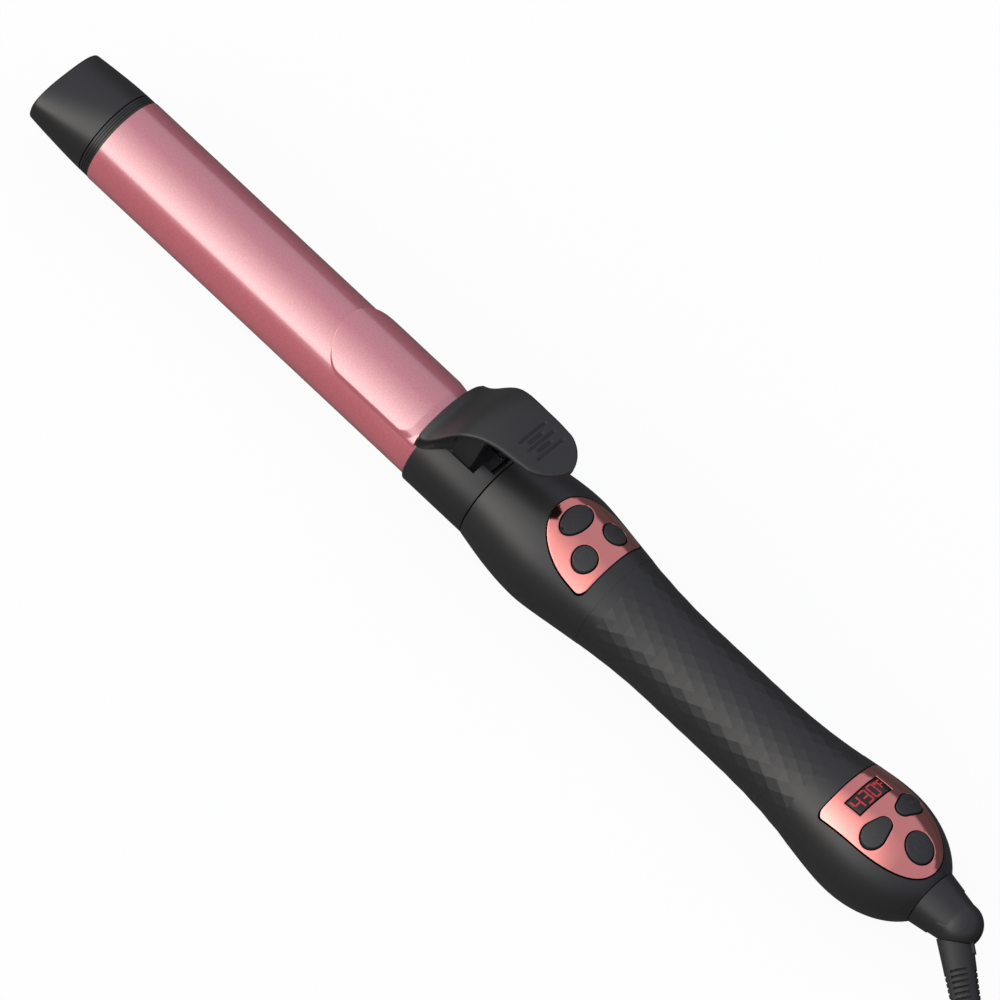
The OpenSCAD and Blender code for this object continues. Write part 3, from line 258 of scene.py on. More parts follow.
class Paint:
    def __init__(self, name, owner=None):
        self.material = owner or bpy.data.materials.new(name)
        self.material.use_nodes = True
        self.tree = self.material.node_tree
        self.tree.nodes.clear()
        self.out = self.tree.nodes.new("ShaderNodeOutputWorld" if owner else "ShaderNodeOutputMaterial")

    # Adds a node, its settings first, then the values or links of its inputs; gives back its outputs
    def node(self, kind, settings=None, inputs=None):
        made = self.tree.nodes.new(kind)
        for key, value in (settings or {}).items():
            if key == "stops":
                self.setStops(made.color_ramp, value)
            else:
                setattr(made, key, value)
        for key, value in (inputs or {}).items():
            socket = made.inputs[key]
            if isinstance(value, Field):
                self.tree.links.new(value.socket, socket)
            else:
                socket.default_value = value
        return [Field(self, output) for output in made.outputs]

    def maths(self, operation, *values):
        return self.node("ShaderNodeMath", {"operation": operation}, dict(enumerate(values)))[0]

    def setStops(self, ramp, stops):
        while len(ramp.elements) < len(stops):
            ramp.elements.new(0.5)
        for element, (position, tone) in zip(ramp.elements, stops):
            element.position = position
            element.color = tone

    # Object coordinates, in metres
    def place(self):
        return self.node("ShaderNodeTexCoord")[3]

    def noise(self, scale, detail, roughness=0.5):
        return self.node("ShaderNodeTexNoise", None,
                         {"Vector": self.place(), "Scale": scale, "Detail": detail, "Roughness": roughness})[0]

    def bump(self, height, distance, strength=1.0):
        return self.node("ShaderNodeBump", None,
                         {"Height": height, "Distance": distance, "Strength": strength})[0]

    def mix(self, factor, a, b):
        return self.node("ShaderNodeMix", {"data_type": "RGBA"}, {0: factor, 6: a, 7: b})[2]

    def ramp(self, where, stops):
        grey = [(stop, colour(level, level, level)) for stop, level in stops]
        return self.node("ShaderNodeValToRGB", {"stops": grey}, {0: where})[0]

    def finish(self, shader):
        self.tree.links.new(shader.socket, self.out.inputs["Surface"])
        return self.material

    def surface(self, **inputs):
        named = {k.replace("_", " "): v for k, v in inputs.items()}
        return self.finish(self.node("ShaderNodeBsdfPrincipled", None, named)[0])


def dimmed(base, share):
    return tuple(c * share for c in base[:3]) + (1,)


# Finishes. Noises are scale, detail and sometimes roughness; spread is how far a roughness ranges with its noise
satinSet = {"base": colour(0.0150, 0.0150, 0.0155), "warm": colour(0.0175, 0.0170, 0.0165), "roughness": 0.40,
            "spread": 0.06, "cloud": (60, 3), "level": 0.52, "grain": (5200, 2, 0.6), "grainDepth": 0.000010}


def satinBlack(name, s, roughness=None, base=None):
    p = Paint(name)
    rough = s["roughness"] if roughness is None else roughness
    cloud = p.noise(*s["cloud"])
    grain = p.noise(*s["grain"])
    shade = p.mix(cloud, base or s["base"], s["warm"])
    return p.surface(Base_Color=shade, Roughness=rough - s["spread"] / 2 + cloud * s["spread"],
                     Specular_IOR_Level=s["level"], Normal=p.bump(grain, s["grainDepth"]))


pinkSet = {"base": colour(0.50, 0.100, 0.126), "flake": colour(0.60, 0.16, 0.19), "metal": 0.12, "roughness": 0.30,
           "spread": 0.06, "haze": (35, 3), "ior": 1.7, "coatIor": 2.0, "coatRoughness": 0.11,
           "speck": (2160, 2, 0.7), "speckStops": [(0.42, 0.0), (0.74, 1.0)],
           "flakeSize": 3600, "flakeDepth": 0.000012, "flakeStrength": 0.3}


def pinkMetal(s):
    p = Paint("rosePinkCoating")
    cells = p.node("ShaderNodeTexVoronoi", None, {"Vector": p.place(), "Scale": s["flakeSize"], "Randomness": 1.0})
    speck = p.noise(*s["speck"])
    shade = p.mix(p.ramp(speck, s["speckStops"]), s["base"], s["flake"])
    haze = p.noise(*s["haze"])
    return p.surface(Base_Color=shade, Metallic=s["metal"],
                     Roughness=s["roughness"] - s["spread"] / 2 + haze * s["spread"],
                     IOR=s["ior"], Specular_IOR_Level=1.0, Coat_Weight=1.0, Coat_Roughness=s["coatRoughness"],
                     Coat_IOR=s["coatIor"], Normal=p.bump(cells[0], s["flakeDepth"], s["flakeStrength"]))


mirrorSet = {"base": colour(0.80, 0.240, 0.212), "roughness": 0.09, "spread": 0.05, "haze": (90, 4), "coatIor": 1.6,
             "coatRoughness": 0.05, "ripple": (240, 2), "rippleDepth": 0.00001, "rippleStrength": 0.2}


def roseMirror(s):
    p = Paint("roseGoldPlating")
    haze = p.noise(*s["haze"])
    ripple = p.noise(*s["ripple"])
    return p.surface(Base_Color=s["base"], Metallic=1.0, Roughness=s["roughness"] + haze * s["spread"],
                     Coat_Weight=1.0, Coat_IOR=s["coatIor"], Coat_Roughness=s["coatRoughness"],
                     Normal=p.bump(ripple, s["rippleDepth"], s["rippleStrength"]))


litSet = {"base": colour(0.10, 0.01, 0.01), "roughness": 0.5, "glow": colour(0.80, 0.03, 0.04), "strength": 0.6,
          "flicker": (900, 2), "least": 0.62}


def litRed(s):
    p = Paint("displayRed")
    shade = p.mix(p.noise(*s["flicker"]), dimmed(s["glow"], s["least"]), s["glow"])
    return p.surface(Base_Color=s["base"], Roughness=s["roughness"], Emission_Color=shade,
                     Emission_Strength=s["strength"])


plainSet = {"grain": (900, 3), "grainDepth": 0.00001, "spread": 0.08, "least": 0.82}


def plain(name, base, metallic, roughness, s=plainSet):
    p = Paint(name)
    grain = p.noise(*s["grain"])
    tint = p.mix(grain, base, dimmed(base, s["least"]))
    return p.surface(Base_Color=tint, Metallic=metallic,
                     Roughness=roughness - s["spread"] / 2 + grain * s["spread"],
                     Normal=p.bump(grain, s["grainDepth"]))


# One finish for each material slot
finishes = {
    "black_shell": satinBlack("handleBlack", satinSet),
    "black_tip": satinBlack("tipBlack", satinSet, 0.36),
    "lever_black": satinBlack("leverBlack", satinSet, 0.42),
    "button_black": satinBlack("buttonBlack", satinSet, 0.48, colour(0.020, 0.021, 0.022)),
    "pink_barrel": pinkMetal(pinkSet),
    "rose_panel": roseMirror(mirrorSet),
    "window_dark": plain("windowBlack", colour(0.012, 0.007, 0.007), 0.0, 0.12),
    "sign_grey": satinBlack("signGrey", satinSet, 0.55, colour(0.040, 0.042, 0.044)),
    "boot_black": satinBlack("bootRubber", satinSet, 0.6),
    "cord_black": satinBlack("cordVinyl", satinSet, 0.5),
    "plug_black": satinBlack("plugVinyl", satinSet, 0.5),
    "tie_black": satinBlack("tieNylon", satinSet, 0.45),
    "blade_brass": plain("nickelBrass", colour(0.72, 0.66, 0.52), 1.0, 0.25),
    "inner_plastic": plain("innerPlastic", colour(0.05, 0.05, 0.055), 0.0, 0.5),
    "pale_plastic": plain("palePlastic", colour(0.72, 0.70, 0.64), 0.0, 0.5),
    "bearing_bronze": plain("sinteredBronze", colour(0.50, 0.33, 0.15), 1.0, 0.4),
    "steel": plain("plainSteel", colour(0.50, 0.50, 0.52), 1.0, 0.35),
    "steel_pin": plain("brightSteel", colour(0.75, 0.75, 0.77), 1.0, 0.18),
    "shoe_metal": plain("extrudedAluminium", colour(0.66, 0.67, 0.69), 1.0, 0.38),
    "ceramic": plain("heaterCeramic", colour(0.78, 0.76, 0.70), 0.0, 0.6),
    "display_red": litRed(litSet),
    "lead_red": plain("leadSleeve", colour(0.45, 0.06, 0.04), 0.0, 0.5),
    "ring_brass": plain("turnedBrass", colour(0.70, 0.50, 0.22), 1.0, 0.28),
    "carbon": plain("brushCarbon", colour(0.03, 0.03, 0.035), 0.0, 0.6),
    "gear_pale": plain("gearAcetal", colour(0.78, 0.76, 0.70), 0.0, 0.4),
    "board_green": plain("boardGreen", colour(0.015, 0.10, 0.05), 0.0, 0.35),
    "display_body": plain("displayHousing", colour(0.03, 0.03, 0.032), 0.0, 0.5),
}


def dress(piece, slotName):
    piece.data.materials.clear()
    piece.data.materials.append(finishes[slotName])


# Shades a mesh smoothly except at edges sharper than a limit; between two stations the limit drops, for the facets
softSet = {"limit": 32.0, "facetLimit": 0.9, "from": 54.5, "to": 140.5, "weld": 0.000002, "bevelLimit": 50,
           "segments": 3}


def makeSoftShade(s):
    group = bpy.data.node_groups.new("softShade", "GeometryNodeTree")
    group.interface.new_socket("Geometry", in_out="INPUT", socket_type="NodeSocketGeometry")
    group.interface.new_socket("Geometry", in_out="OUTPUT", socket_type="NodeSocketGeometry")

    def add(kind, settings, links):
        made = group.nodes.new(kind)
        for key, value in settings.items():
            setattr(made, key, value)
        for key, value in links.items():
            if isinstance(value, (int, float, bool)):
                made.inputs[key].default_value = value
            else:
                group.links.new(value, made.inputs[key])
        return made.outputs

    along = add("ShaderNodeSeparateXYZ", {}, {0: add("GeometryNodeInputPosition", {}, {})[0]})[0]
    after = add("ShaderNodeMath", {"operation": "GREATER_THAN"}, {0: along, 1: at(s["from"], 0, 0).x})
    before = add("ShaderNodeMath", {"operation": "LESS_THAN"}, {0: along, 1: at(s["to"], 0, 0).x})
    inside = add("ShaderNodeMath", {"operation": "MULTIPLY"}, {0: after[0], 1: before[0]})
    drop = math.radians(s["facetLimit"] - s["limit"])
    limit = add("ShaderNodeMath", {"operation": "MULTIPLY_ADD"}, {0: inside[0], 1: drop, 2: math.radians(s["limit"])})
    angle = add("GeometryNodeInputMeshEdgeAngle", {}, {})
    sharp = add("ShaderNodeMath", {"operation": "GREATER_THAN"}, {0: angle[0], 1: limit[0]})
    start = add("NodeGroupInput", {}, {})
    faces = add("GeometryNodeSetShadeSmooth", {"domain": "FACE"}, {0: start[0], 2: True})
    edges = add("GeometryNodeSetShadeSmooth", {"domain": "EDGE"}, {0: faces[0], 1: sharp[0], 2: False})
    add("NodeGroupOutput", {}, {0: edges[0]})
    return group


softShade = makeSoftShade(softSet)


# Welds a mesh's seams, rounds its edges by some millimetres and shades it softly
def soften(piece, edge=0.0, s=softSet):
    weld = piece.modifiers.new("weld", "WELD")
    weld.merge_threshold = s["weld"]
    if edge:
        bevel = piece.modifiers.new("edge", "BEVEL")
        bevel.width = edge / 1000
        bevel.segments = s["segments"]
        bevel.limit_method = "ANGLE"
        bevel.angle_limit = math.radians(s["bevelLimit"])
        bevel.use_clamp_overlap = False
    shade = piece.modifiers.new("shade", "NODES")
    shade.node_group = softShade


# Widths of the edges that are rounded, in millimetres
edgeSet = {"upper_panel": 0.2, "lower_panel": 0.2, "display_window": 0.15, "curl_button": 0.12, "left_button": 0.35,
           "right_button": 0.35, "heat_up_button": 0.35, "heat_down_button": 0.35, "power_button": 0.35,
           "collar": 0.2, "plug_body": 1.2, "cord_tie": 0.4}

for entry in frame["record"]["subparts"]:
    dress(nodes[entry["node"]], entry["material_slot"])
    soften(nodes[entry["node"]], edgeSet.get(entry["node"], 0.0))
dress(mainsCord, "cord_black")
print("finishes made:", len(finishes))


# The handle's own curve, for what lies on it: radius at a place along the handle
handleSet = {"frontX": 26.5, "frontBulge": 20.7, "waistX": 79.0, "waist": 15.65, "riseX": 100.0, "front": 17.2,
             "rearX": 163.1, "rearBulge": 20.6, "tailReach": 29.396, "frontPower": 0.75, "rearPower": 1.75}


def easeInOut(u):
    return u * u * (3 - 2 * u)


def handleRadius(x, s=handleSet):
    if x < s["frontX"]:
        return s["front"] + (s["frontBulge"] - s["front"]) * math.sin(math.pi / 2 * x / s["frontX"])
    if x > s["rearX"]:
        return s["rearBulge"] * math.sqrt(1 - ((x - s["rearX"]) / s["tailReach"]) ** 2)
    if x < s["waistX"]:
        share = ((x - s["frontX"]) / (s["waistX"] - s["frontX"])) ** s["frontPower"]
        return s["frontBulge"] - (s["frontBulge"] - s["waist"]) * easeInOut(share)
    if x < s["riseX"]:
        return s["waist"]
    share = ((x - s["riseX"]) / (s["rearX"] - s["riseX"])) ** s["rearPower"]
    return s["waist"] + (s["rearBulge"] - s["waist"]) * easeInOut(share)


# The point above a plan point at some height over the handle's surface
def onHandle(x, y, lift):
    return at(x, y, math.sqrt((handleRadius(x) + lift) ** 2 - y * y))


def makePiece(name, points, faces, body, slotName, finish=None):
    mesh = bpy.data.meshes.new(name)
    mesh.from_pydata([tuple(p) for p in points], [], faces)
    builder = bmesh.new()
    builder.from_mesh(mesh)
    bmesh.ops.recalc_face_normals(builder, faces=builder.faces)
    builder.to_mesh(mesh)
    builder.free()
    piece = bpy.data.objects.new(name, mesh)
    bpy.context.scene.collection.objects.link(piece)
    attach(piece, body)
    dress(piece, finish or slotName)
    return piece


strokeSet = {"step": 0.35, "joined": 0.001}


# Flat strokes drawn in plan and laid on the handle or on a cap that follows it
def strokes(name, lines, width, lift, depth, body, slotName, finish):
    points, faces = [], []
    for line in lines:
        path = [Vector(line[0])]
        for a, b in zip(line, line[1:]):
            a, b = Vector(a), Vector(b)
            steps = max(1, round((b - a).length / strokeSet["step"]))
            path += [a + (b - a) * k / steps for k in range(1, steps + 1)]
        closed = (path[0] - path[-1]).length < strokeSet["joined"]
        if closed:
            path.pop()
        count = len(path)
        first = len(points)
        for i, p in enumerate(path):
            before = path[i - 1] if closed or i else p
            after = path[(i + 1) % count] if closed or i < count - 1 else p
            ahead = (after - before).normalized()
            side = Vector((-ahead.y, ahead.x)) * width / 2
            for q, d in ((p + side, 0), (p - side, 0), (p - side, depth), (p + side, depth)):
                points.append(onHandle(q.x, q.y, lift - d))
        for i in range(count if closed else count - 1):
            a, b = first + 4 * i, first + 4 * ((i + 1) % count)
            faces += [(a + k, b + k, b + (k + 1) % 4, a + (k + 1) % 4) for k in range(4)]
        if not closed:
            faces += [tuple(first + k for k in range(4)), tuple(first + 4 * count - 1 - k for k in range(4))]
    return makePiece(name, points, faces, body, slotName, finish)


# An arc about a point, from one angle to another in degrees
def arcLine(x, y, radius, start, end, steps=20):
    turns = [math.radians(start + (end - start) * k / steps) for k in range(steps + 1)]
    return [(x + radius * math.cos(a), y + radius * math.sin(a)) for a in turns]


# Signs on the caps, faint as moulded ones: turn left and right, curl, plus, minus and power
signSet = {
    "width": 0.42, "proud": 0.635, "depth": 0.2,
    "turnX": 39.3, "turnY": 7.1, "turnRadius": 2.1, "turnHalf": 130, "headSize": 1.2, "headSpread": 0.6,
    "curlX": 28.4, "curlY": -3.4, "curlSwing": 0.9, "curlTurn": 0.9, "curlStep": 0.34, "curlPoints": 21,
    "plus": [[(164.9, -8.6), (167.7, -8.6)], [(166.3, -10.0), (166.3, -7.2)]],
    "minus": [[(166.3, 7.2), (166.3, 10.0)]],
    "powerArc": (178.5, 0, 2.0, 215, 505), "powerMark": [(176.2, 0), (178.2, 0)],
}


# An open circle with an arrow head at its end; way is 1 on the left button and -1 on the right one
def turnArrow(s, way):
    half = way * s["turnHalf"]
    arc = arcLine(s["turnX"], -way * s["turnY"], s["turnRadius"], 90 - half, 90 + half)
    x, y = arc[-1]
    heading = math.radians(90 + 90 * way + half)
    ends = [(x - s["headSize"] * math.cos(heading + spread), y - s["headSize"] * math.sin(heading + spread))
            for spread in (s["headSpread"], -s["headSpread"])]
    return [arc, [ends[0], (x, y), ends[1]]]


def makeSigns(s):
    curl = [(s["curlX"] + s["curlSwing"] * math.sin(k * s["curlTurn"]), s["curlY"] + s["curlStep"] * k)
            for k in range(s["curlPoints"])]
    signs = {"leftSign": (turnArrow(s, 1), "left_key"), "rightSign": (turnArrow(s, -1), "right_key"),
             "curlSign": ([curl], "curl_key"), "plusSign": (s["plus"], "heat_up_key"),
             "minusSign": (s["minus"], "heat_down_key"),
             "powerSign": ([arcLine(*s["powerArc"]), s["powerMark"]], "power_key")}
    for name, (lines, body) in signs.items():
        strokes(name, lines, s["width"], s["proud"], s["depth"], body, "button_black", "sign_grey")


# The display's lit segments: 430 and a small degree sign and F, read from the near side to the far side
displaySet = {"x": 155.8, "digitLength": 4.6, "digitWidth": 2.4, "starts": [-6.4, -2.8, 0.8], "stroke": 0.55,
              "lift": 0.075, "depth": 0.15, "gap": 0.14, "shown": "430", "unit": "F", "unitX": 155.4, "unitY": 5.3,
              "unitLength": 3.0, "unitWidth": 1.5, "unitGap": 0.08, "degree": (154.2, 4.35, 0.35, 0, 360, 10)}
litSegments = {"4": "bcfg", "3": "abcdg", "0": "abcdef", "F": "aefg"}


# The lit segments of one sign; a to g are named as on any such display
def digitLines(sign, x, y, length, width, gap):
    top, middle, low = x - length / 2, x, x + length / 2
    ends = {"a": ((top, 0), (top, width)), "b": ((top, width), (middle, width)), "c": ((middle, width), (low, width)),
            "d": ((low, 0), (low, width)), "e": ((middle, 0), (low, 0)), "f": ((top, 0), (middle, 0)),
            "g": ((middle, 0), (middle, width))}
    lines = []
    for letter in litSegments[sign]:
        a, b = (Vector((p[0], p[1] + y)) for p in ends[letter])
        cut = (b - a).normalized() * gap
        lines.append([tuple(a + cut), tuple(b - cut)])
    return lines


def makeDigits(s):
    lines = []
    for sign, y in zip(s["shown"], s["starts"]):
        lines += digitLines(sign, s["x"], y, s["digitLength"], s["digitWidth"], s["gap"])
    lines += digitLines(s["unit"], s["unitX"], s["unitY"], s["unitLength"], s["unitWidth"], s["unitGap"])
    lines.append(arcLine(*s["degree"]))
    strokes("displayDigits", lines, s["stroke"], s["lift"], s["depth"], "handle", "window_dark", "display_red")


makeSigns(signSet)
makeDigits(displaySet)
print("signs and digits laid")


# The lever: a rounded shell that rises from a rim round the collar to a thumb pad, with cheeks that run down from
# its front corners and webs to its pin. Stations: place along the handle, half width, height of the edge
leverSet = {
    "stations": [(-26.4, 15.5, 15.6), (-25.3, 15.8, 15.9), (-24.2, 15.85, 16.5), (-23, 15.75, 17.6),
                 (-22, 15.6, 18.9), (-21, 15.5, 20.3), (-20, 15.35, 21.9), (-18, 14.95, 25.3),
                 (-16, 14.4, 28.6), (-14, 14.05, 31.3), (-12, 13.7, 33.2), (-10, 13.25, 34.6),
                 (-8, 12.75, 35.8), (-6, 12.35, 36.5), (-4, 12.0, 37.1), (-2, 11.65, 37.6),
                 (0, 11.4, 37.9), (3, 11.2, 38.2), (6, 11.0, 38.4), (10, 10.5, 38.6)],
    "rimTop": 21.2, "rimPower": 4, "crown": 0.35, "bulge": 0.9, "crownLeast": 0.3, "corner": 1.3, "ease": 0.9,
    "fineTo": 12.2, "padEnd": 20.3, "padMost": 0.999, "padPower": 1.6, "padRoot": 0.6, "curl": 0.06,
    "thick": 2.0, "edgeLeast": 0.35, "reachLeast": 0.02, "across": 40, "round": 8,
    "rimSteps": 6, "step": 0.3, "endSteps": 30, "endPower": 2.4, "endShort": 0.02,
    "grooves": [(2.6, -5.6, 7.2), (4.55, -3.4, 3.6), (6.5, -5.6, 7.2), (8.45, -3.4, 3.6), (10.4, -5.6, 7.2)],
    "grooveDepth": 0.55, "grooveWidth": 0.7, "grooveFade": 0.8, "groovePower": 1.2,
    "webOut": 9.4, "webThick": 1.6, "webEnd": -7.9, "webRound": 2.0, "webEdge": 0.25, "webSink": 1.2,
    "webTop": (2.0, -3.0, 1.5), "webStart": (2.0, -2.4), "pinX": -16.7, "pinZ": 13.3, "eye": 3.1,
    "cheekLow": [(-26.2, 15.2, 11.2), (-25.0, 15.0, 10.6), (-23.3, 14.3, 10.8), (-21.4, 13.2, 12.0),
                 (-19.5, 11.8, 13.4), (-17.9, 10.6, 14.4), (-16.0, 9.5, 15.2)],
    "cheekThick": (1.5, 0.6), "cheekEdge": 0.3, "cheekEase": 0.6, "cheekLoops": 36, "cheekRows": 8,
    "cheekIn": (0.25, 0.75, 8), "cheekUnder": 0.9, "cheekSink": (1.6, 12), "cheekLift": 0.2,
}


# A column of rows of numbers at a place along them, by straight lines from row to row
def between(rows, x, column):
    for a, b in zip(rows, rows[1:]):
        if x <= b[0]:
            break
    u = min(1, max(0, (x - a[0]) / (b[0] - a[0])))
    return a[column] + (b[column] - a[column]) * u


# The same, smoothed over a short stretch on both sides
def eased(rows, x, column, reach, half=3):
    return sum(between(rows, x + reach * k / half, column) for k in range(-half, half + 1)) / (2 * half + 1)


# Half width, bow radius and the height of the bow's centre at a place along the lever
def leverSection(s, x):
    first, last = s["stations"][0], s["stations"][-1]
    share = min(s["padMost"], max(0, (x - last[0]) / (s["padEnd"] - last[0])))
    taper = (1 - share ** s["padPower"]) ** s["padRoot"]
    reach = s["ease"] if first[0] + s["ease"] < x < last[0] - s["ease"] else 0.0
    half = eased(s["stations"], x, 1, reach) * taper
    edge = eased(s["stations"], x, 2, reach) + s["curl"] * max(0, x - last[0])
    u = min(1, max(0, (x - first[0]) / (last[0] - first[0])))
    crown = (s["rimTop"] - first[2]) * (1 - u) ** s["rimPower"]
    crown += (s["crown"] + s["bulge"] * math.sin(math.pi * u)) * max(s["crownLeast"], taper)
    bow = (half * half + crown * crown) / (2 * crown)
    return half, bow, edge + crown - bow


def leverTop(s, x, y):
    half, bow, middle = leverSection(s, x)
    return middle + math.sqrt(max(0, bow * bow - y * y))


# How deep the thumb grooves lie at a place on the pad; a groove is its place along and its two ends across
def grooveDip(s, x, y):
    dip = 0
    for middle, low, high in s["grooves"]:
        across = abs(x - middle) / s["grooveWidth"]
        out = max(0, low + s["grooveFade"] - y, y - high + s["grooveFade"]) / s["grooveFade"]
        if across < 1 and out < 1:
            profile = math.cos(math.pi / 2 * across) ** s["groovePower"]
            dip = max(dip, s["grooveDepth"] * profile * math.cos(math.pi / 2 * out))
    return dip


# The shell's cut at a place along: over the top, round the far edge, back underneath and round the near edge
def leverLoop(s, x):
    half, bow, middle = leverSection(s, x)
    fromFront = min(1, (x - s["stations"][0][0]) / s["corner"])
    cut = s["corner"] * (1 - math.sqrt(1 - (1 - fromFront) ** 2))
    thick = s["thick"]
    edge = thick / 2 * min(1, s["edgeLeast"] + fromFront)
    reach = math.asin(min(1, max(s["reachLeast"], (half - cut - thick / 2) / bow)))
    core = bow - thick / 2

    def spot(a, up, out=0.0):
        return ((core + up) * math.sin(a) + out * math.cos(a),
                middle + (core + up) * math.cos(a) - out * math.sin(a))

    bowTurns = [reach * (2 * j / s["across"] - 1) for j in range(s["across"] + 1)]
    edgeTurns = [math.pi / 2 - math.pi * k / s["round"] for k in range(1, s["round"])]
    loop = [(y, z - grooveDip(s, x, y)) for y, z in (spot(a, edge) for a in bowTurns)]
    loop += [spot(reach, edge * math.sin(a), thick / 2 * math.cos(a)) for a in edgeTurns]
    loop += [spot(-a, -edge) for a in bowTurns]
    loop += [spot(-reach, -edge * math.sin(a), -thick / 2 * math.cos(a)) for a in edgeTurns]
    return [at(x, y, z) for y, z in loop]


# Faces between loops of points, closed at both ends by caps or, when it is round, on itself
def skin(loops, isRound=False):
    points = [p for loop in loops for p in loop]
    n = len(loops[0])
    pairs = [(i * n, (i + 1) % len(loops) * n) for i in range(len(loops) if isRound else len(loops) - 1)]
    faces = [(a + k, a + (k + 1) % n, b + (k + 1) % n, b + k) for a, b in pairs for k in range(n)]
    if not isRound:
        faces += [tuple(range(n)), tuple(len(points) - 1 - k for k in range(n))]
    return points, faces


# Places of the shell's cuts: close together in the rim's corner and at the pad's end
def leverPlaces(s):
    rimX, fineX, n = s["stations"][0][0], s["fineTo"], s["rimSteps"]
    places = [rimX + s["corner"] * (1 - math.cos(math.pi / 2 * k / n)) for k in range(n + 1)]
    start = places[-1]
    steps = round((fineX - start) / s["step"])
    places += [start + (fineX - start) * k / steps for k in range(1, steps + 1)]
    n = s["endSteps"]
    places += [fineX + (s["padEnd"] - fineX) * (1 - (1 - k / n) ** s["endPower"]) for k in range(1, n)]
    return places + [s["padEnd"] - s["endShort"]]


# A web's outline: its foot, its rounded rear, its top inside the shell and its eye round the pin
def webOutline(s):
    (footX, footZ), (fromX, toX, step), r = s["webStart"], s["webTop"], s["webRound"]
    outline = [(s["pinX"] + footX, s["pinZ"] + footZ)]
    outline += arcLine(s["webEnd"] - r, s["pinZ"] + r, r, -90, 0, 6)
    x = s["webEnd"] + fromX
    while x > s["pinX"] + toX:
        outline.append((x, leverTop(s, x, s["webOut"] - s["webThick"] / 2) - s["webSink"]))
        x -= step
    return outline + arcLine(s["pinX"], s["pinZ"], s["eye"], 170, 290, 8)


# A cheek's cut at a share of its length: an outer line that is hollow towards the rear, and back up inside it
def cheekLoop(s, k, side):
    first, last = s["cheekLow"][0][0], s["cheekLow"][-1][0]
    x = first + (last - first) * k / s["cheekLoops"]
    lowY, lowZ = (eased(s["cheekLow"], x, column, s["cheekEase"]) for column in (1, 2))
    half, bow, middle = leverSection(s, x)
    start, more, steps = s["cheekIn"]
    topY = half - start - more * min(1, k / steps)
    topZ = middle + math.sqrt(bow * bow - topY * topY) - s["cheekUnder"]
    sink, steps = s["cheekSink"]
    thick, thin = s["cheekThick"]
    outer, inner = [], []
    for j in range(s["cheekRows"] + 1):
        v = j / s["cheekRows"]
        y = topY + (lowY - topY) * v - sink * math.sin(math.pi * v) * min(1, k / steps)
        z = topZ + (lowZ - topZ) * v
        outer.append((y, z))
        inner.insert(0, (y - thick - (thin - thick) * v, z + s["cheekLift"]))
    return [at(x, side * y, z) for y, z in outer + inner]


def makeLever(s):
    points, faces = skin([leverLoop(s, x) for x in leverPlaces(s)])
    shell = makePiece("leverShell", points, faces, "clamp", "lever_black")
    soften(shell)
    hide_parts("thumb_lever")
    outline = webOutline(s)
    for name, side in (("Near", -1), ("Far", 1)):
        web = skin([[at(x, side * y, z) for x, z in outline] for y in (s["webOut"] - s["webThick"], s["webOut"])])
        soften(makePiece("leverWeb" + name, *web, "clamp", "lever_black"), s["webEdge"])
        cheek = skin([cheekLoop(s, k, side) for k in range(s["cheekLoops"] + 1)])
        soften(makePiece("leverCheek" + name, *cheek, "clamp", "lever_black"), s["cheekEdge"])


makeLever(leverSet)


# The lever's spring: a copy of its mesh, finished and shaded softly, shown in place of the part's own
springSet = {"armX": -14.1, "armFrom": 14.8, "armTo": 22.0}


def makeSpring(s):
    piece = bpy.data.objects.new("leverSpring", nodes["lever_spring"].data.copy())
    bpy.context.scene.collection.objects.link(piece)
    tuple(at(s["armX"], 0, s["armFrom"]))
    tuple(at(s["armX"], 0, s["armTo"]))
    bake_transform(piece)
    dress(piece, "steel_pin")
    soften(piece)
    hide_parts("lever_spring")


makeSpring(springSet)


# The clamp: a plate round the barrel whose raised flat ends before the lever with rounded corners, and whose tail
# rises over the collar under the lever. Tail rows: place along the handle, outer radius, inner radius
clampSet = {
    "tip": -71.0, "round": 11.0, "half": 14.3, "outer": 17.25, "edge": 0.2, "flatEnd": -30.3, "corner": 4.2,
    "middle": 0.001, "across": 28, "tipAngles": [1.5, 3, 5, 7, 10, *range(14, 91, 4)], "plainSteps": 8,
    "fineAhead": 0.3, "fine": 0.15, "fineTo": -25.75,
    "dips": [(0, 0), (0.2, 0.03), (2.9, 0.58), (9, 0.58)],
    "tail": [(-30.3, 16.67, 16.3), (-27.1, 16.67, 16.2), (-25.75, 18.5, 17.62), (-21.2, 18.57, 17.62)],
    "narrow": [(-26.5, 14.3), (-24.7, 12.45)], "tailPlaces": [-25.2, -24.7, -21.2],
}


# Half width of the plate: round at its tip and narrower under the lever
def clampHalf(s, x):
    if x < s["tip"] + s["round"]:
        return s["half"] * math.sqrt(1 - ((s["tip"] + s["round"] - x) / s["round"]) ** 2)
    return between(s["narrow"], x, 1)


# Height of the plate's top: its edge is rounded, and its flat dips by its corner line before the lever
def clampTop(s, x, y):
    ahead = max(0, (s["tip"] + s["round"] - x) / s["round"])
    aside = y / clampHalf(s, max(x, s["tip"] + s["round"]))
    f = math.hypot(ahead, aside)
    slope = math.hypot(ahead / s["round"], aside / s["half"])
    inside = (1 - f) * f / slope if slope > s["middle"] else s["edge"]
    near = max(0, 1 - inside / s["edge"])
    rounding = s["edge"] * (1 - math.sqrt(max(0, 1 - near * near)))
    if x > s["tail"][1][0]:
        radius = between(s["tail"], x, 1)
    else:
        u = min(1, max(0, (abs(y) - s["half"] + s["corner"]) / s["corner"]))
        past = x - s["flatEnd"] + s["corner"] * (1 - math.sqrt(1 - u * u))
        radius = s["outer"] - between(s["dips"], past, 1)
    return math.sqrt(radius * radius - y * y) - rounding


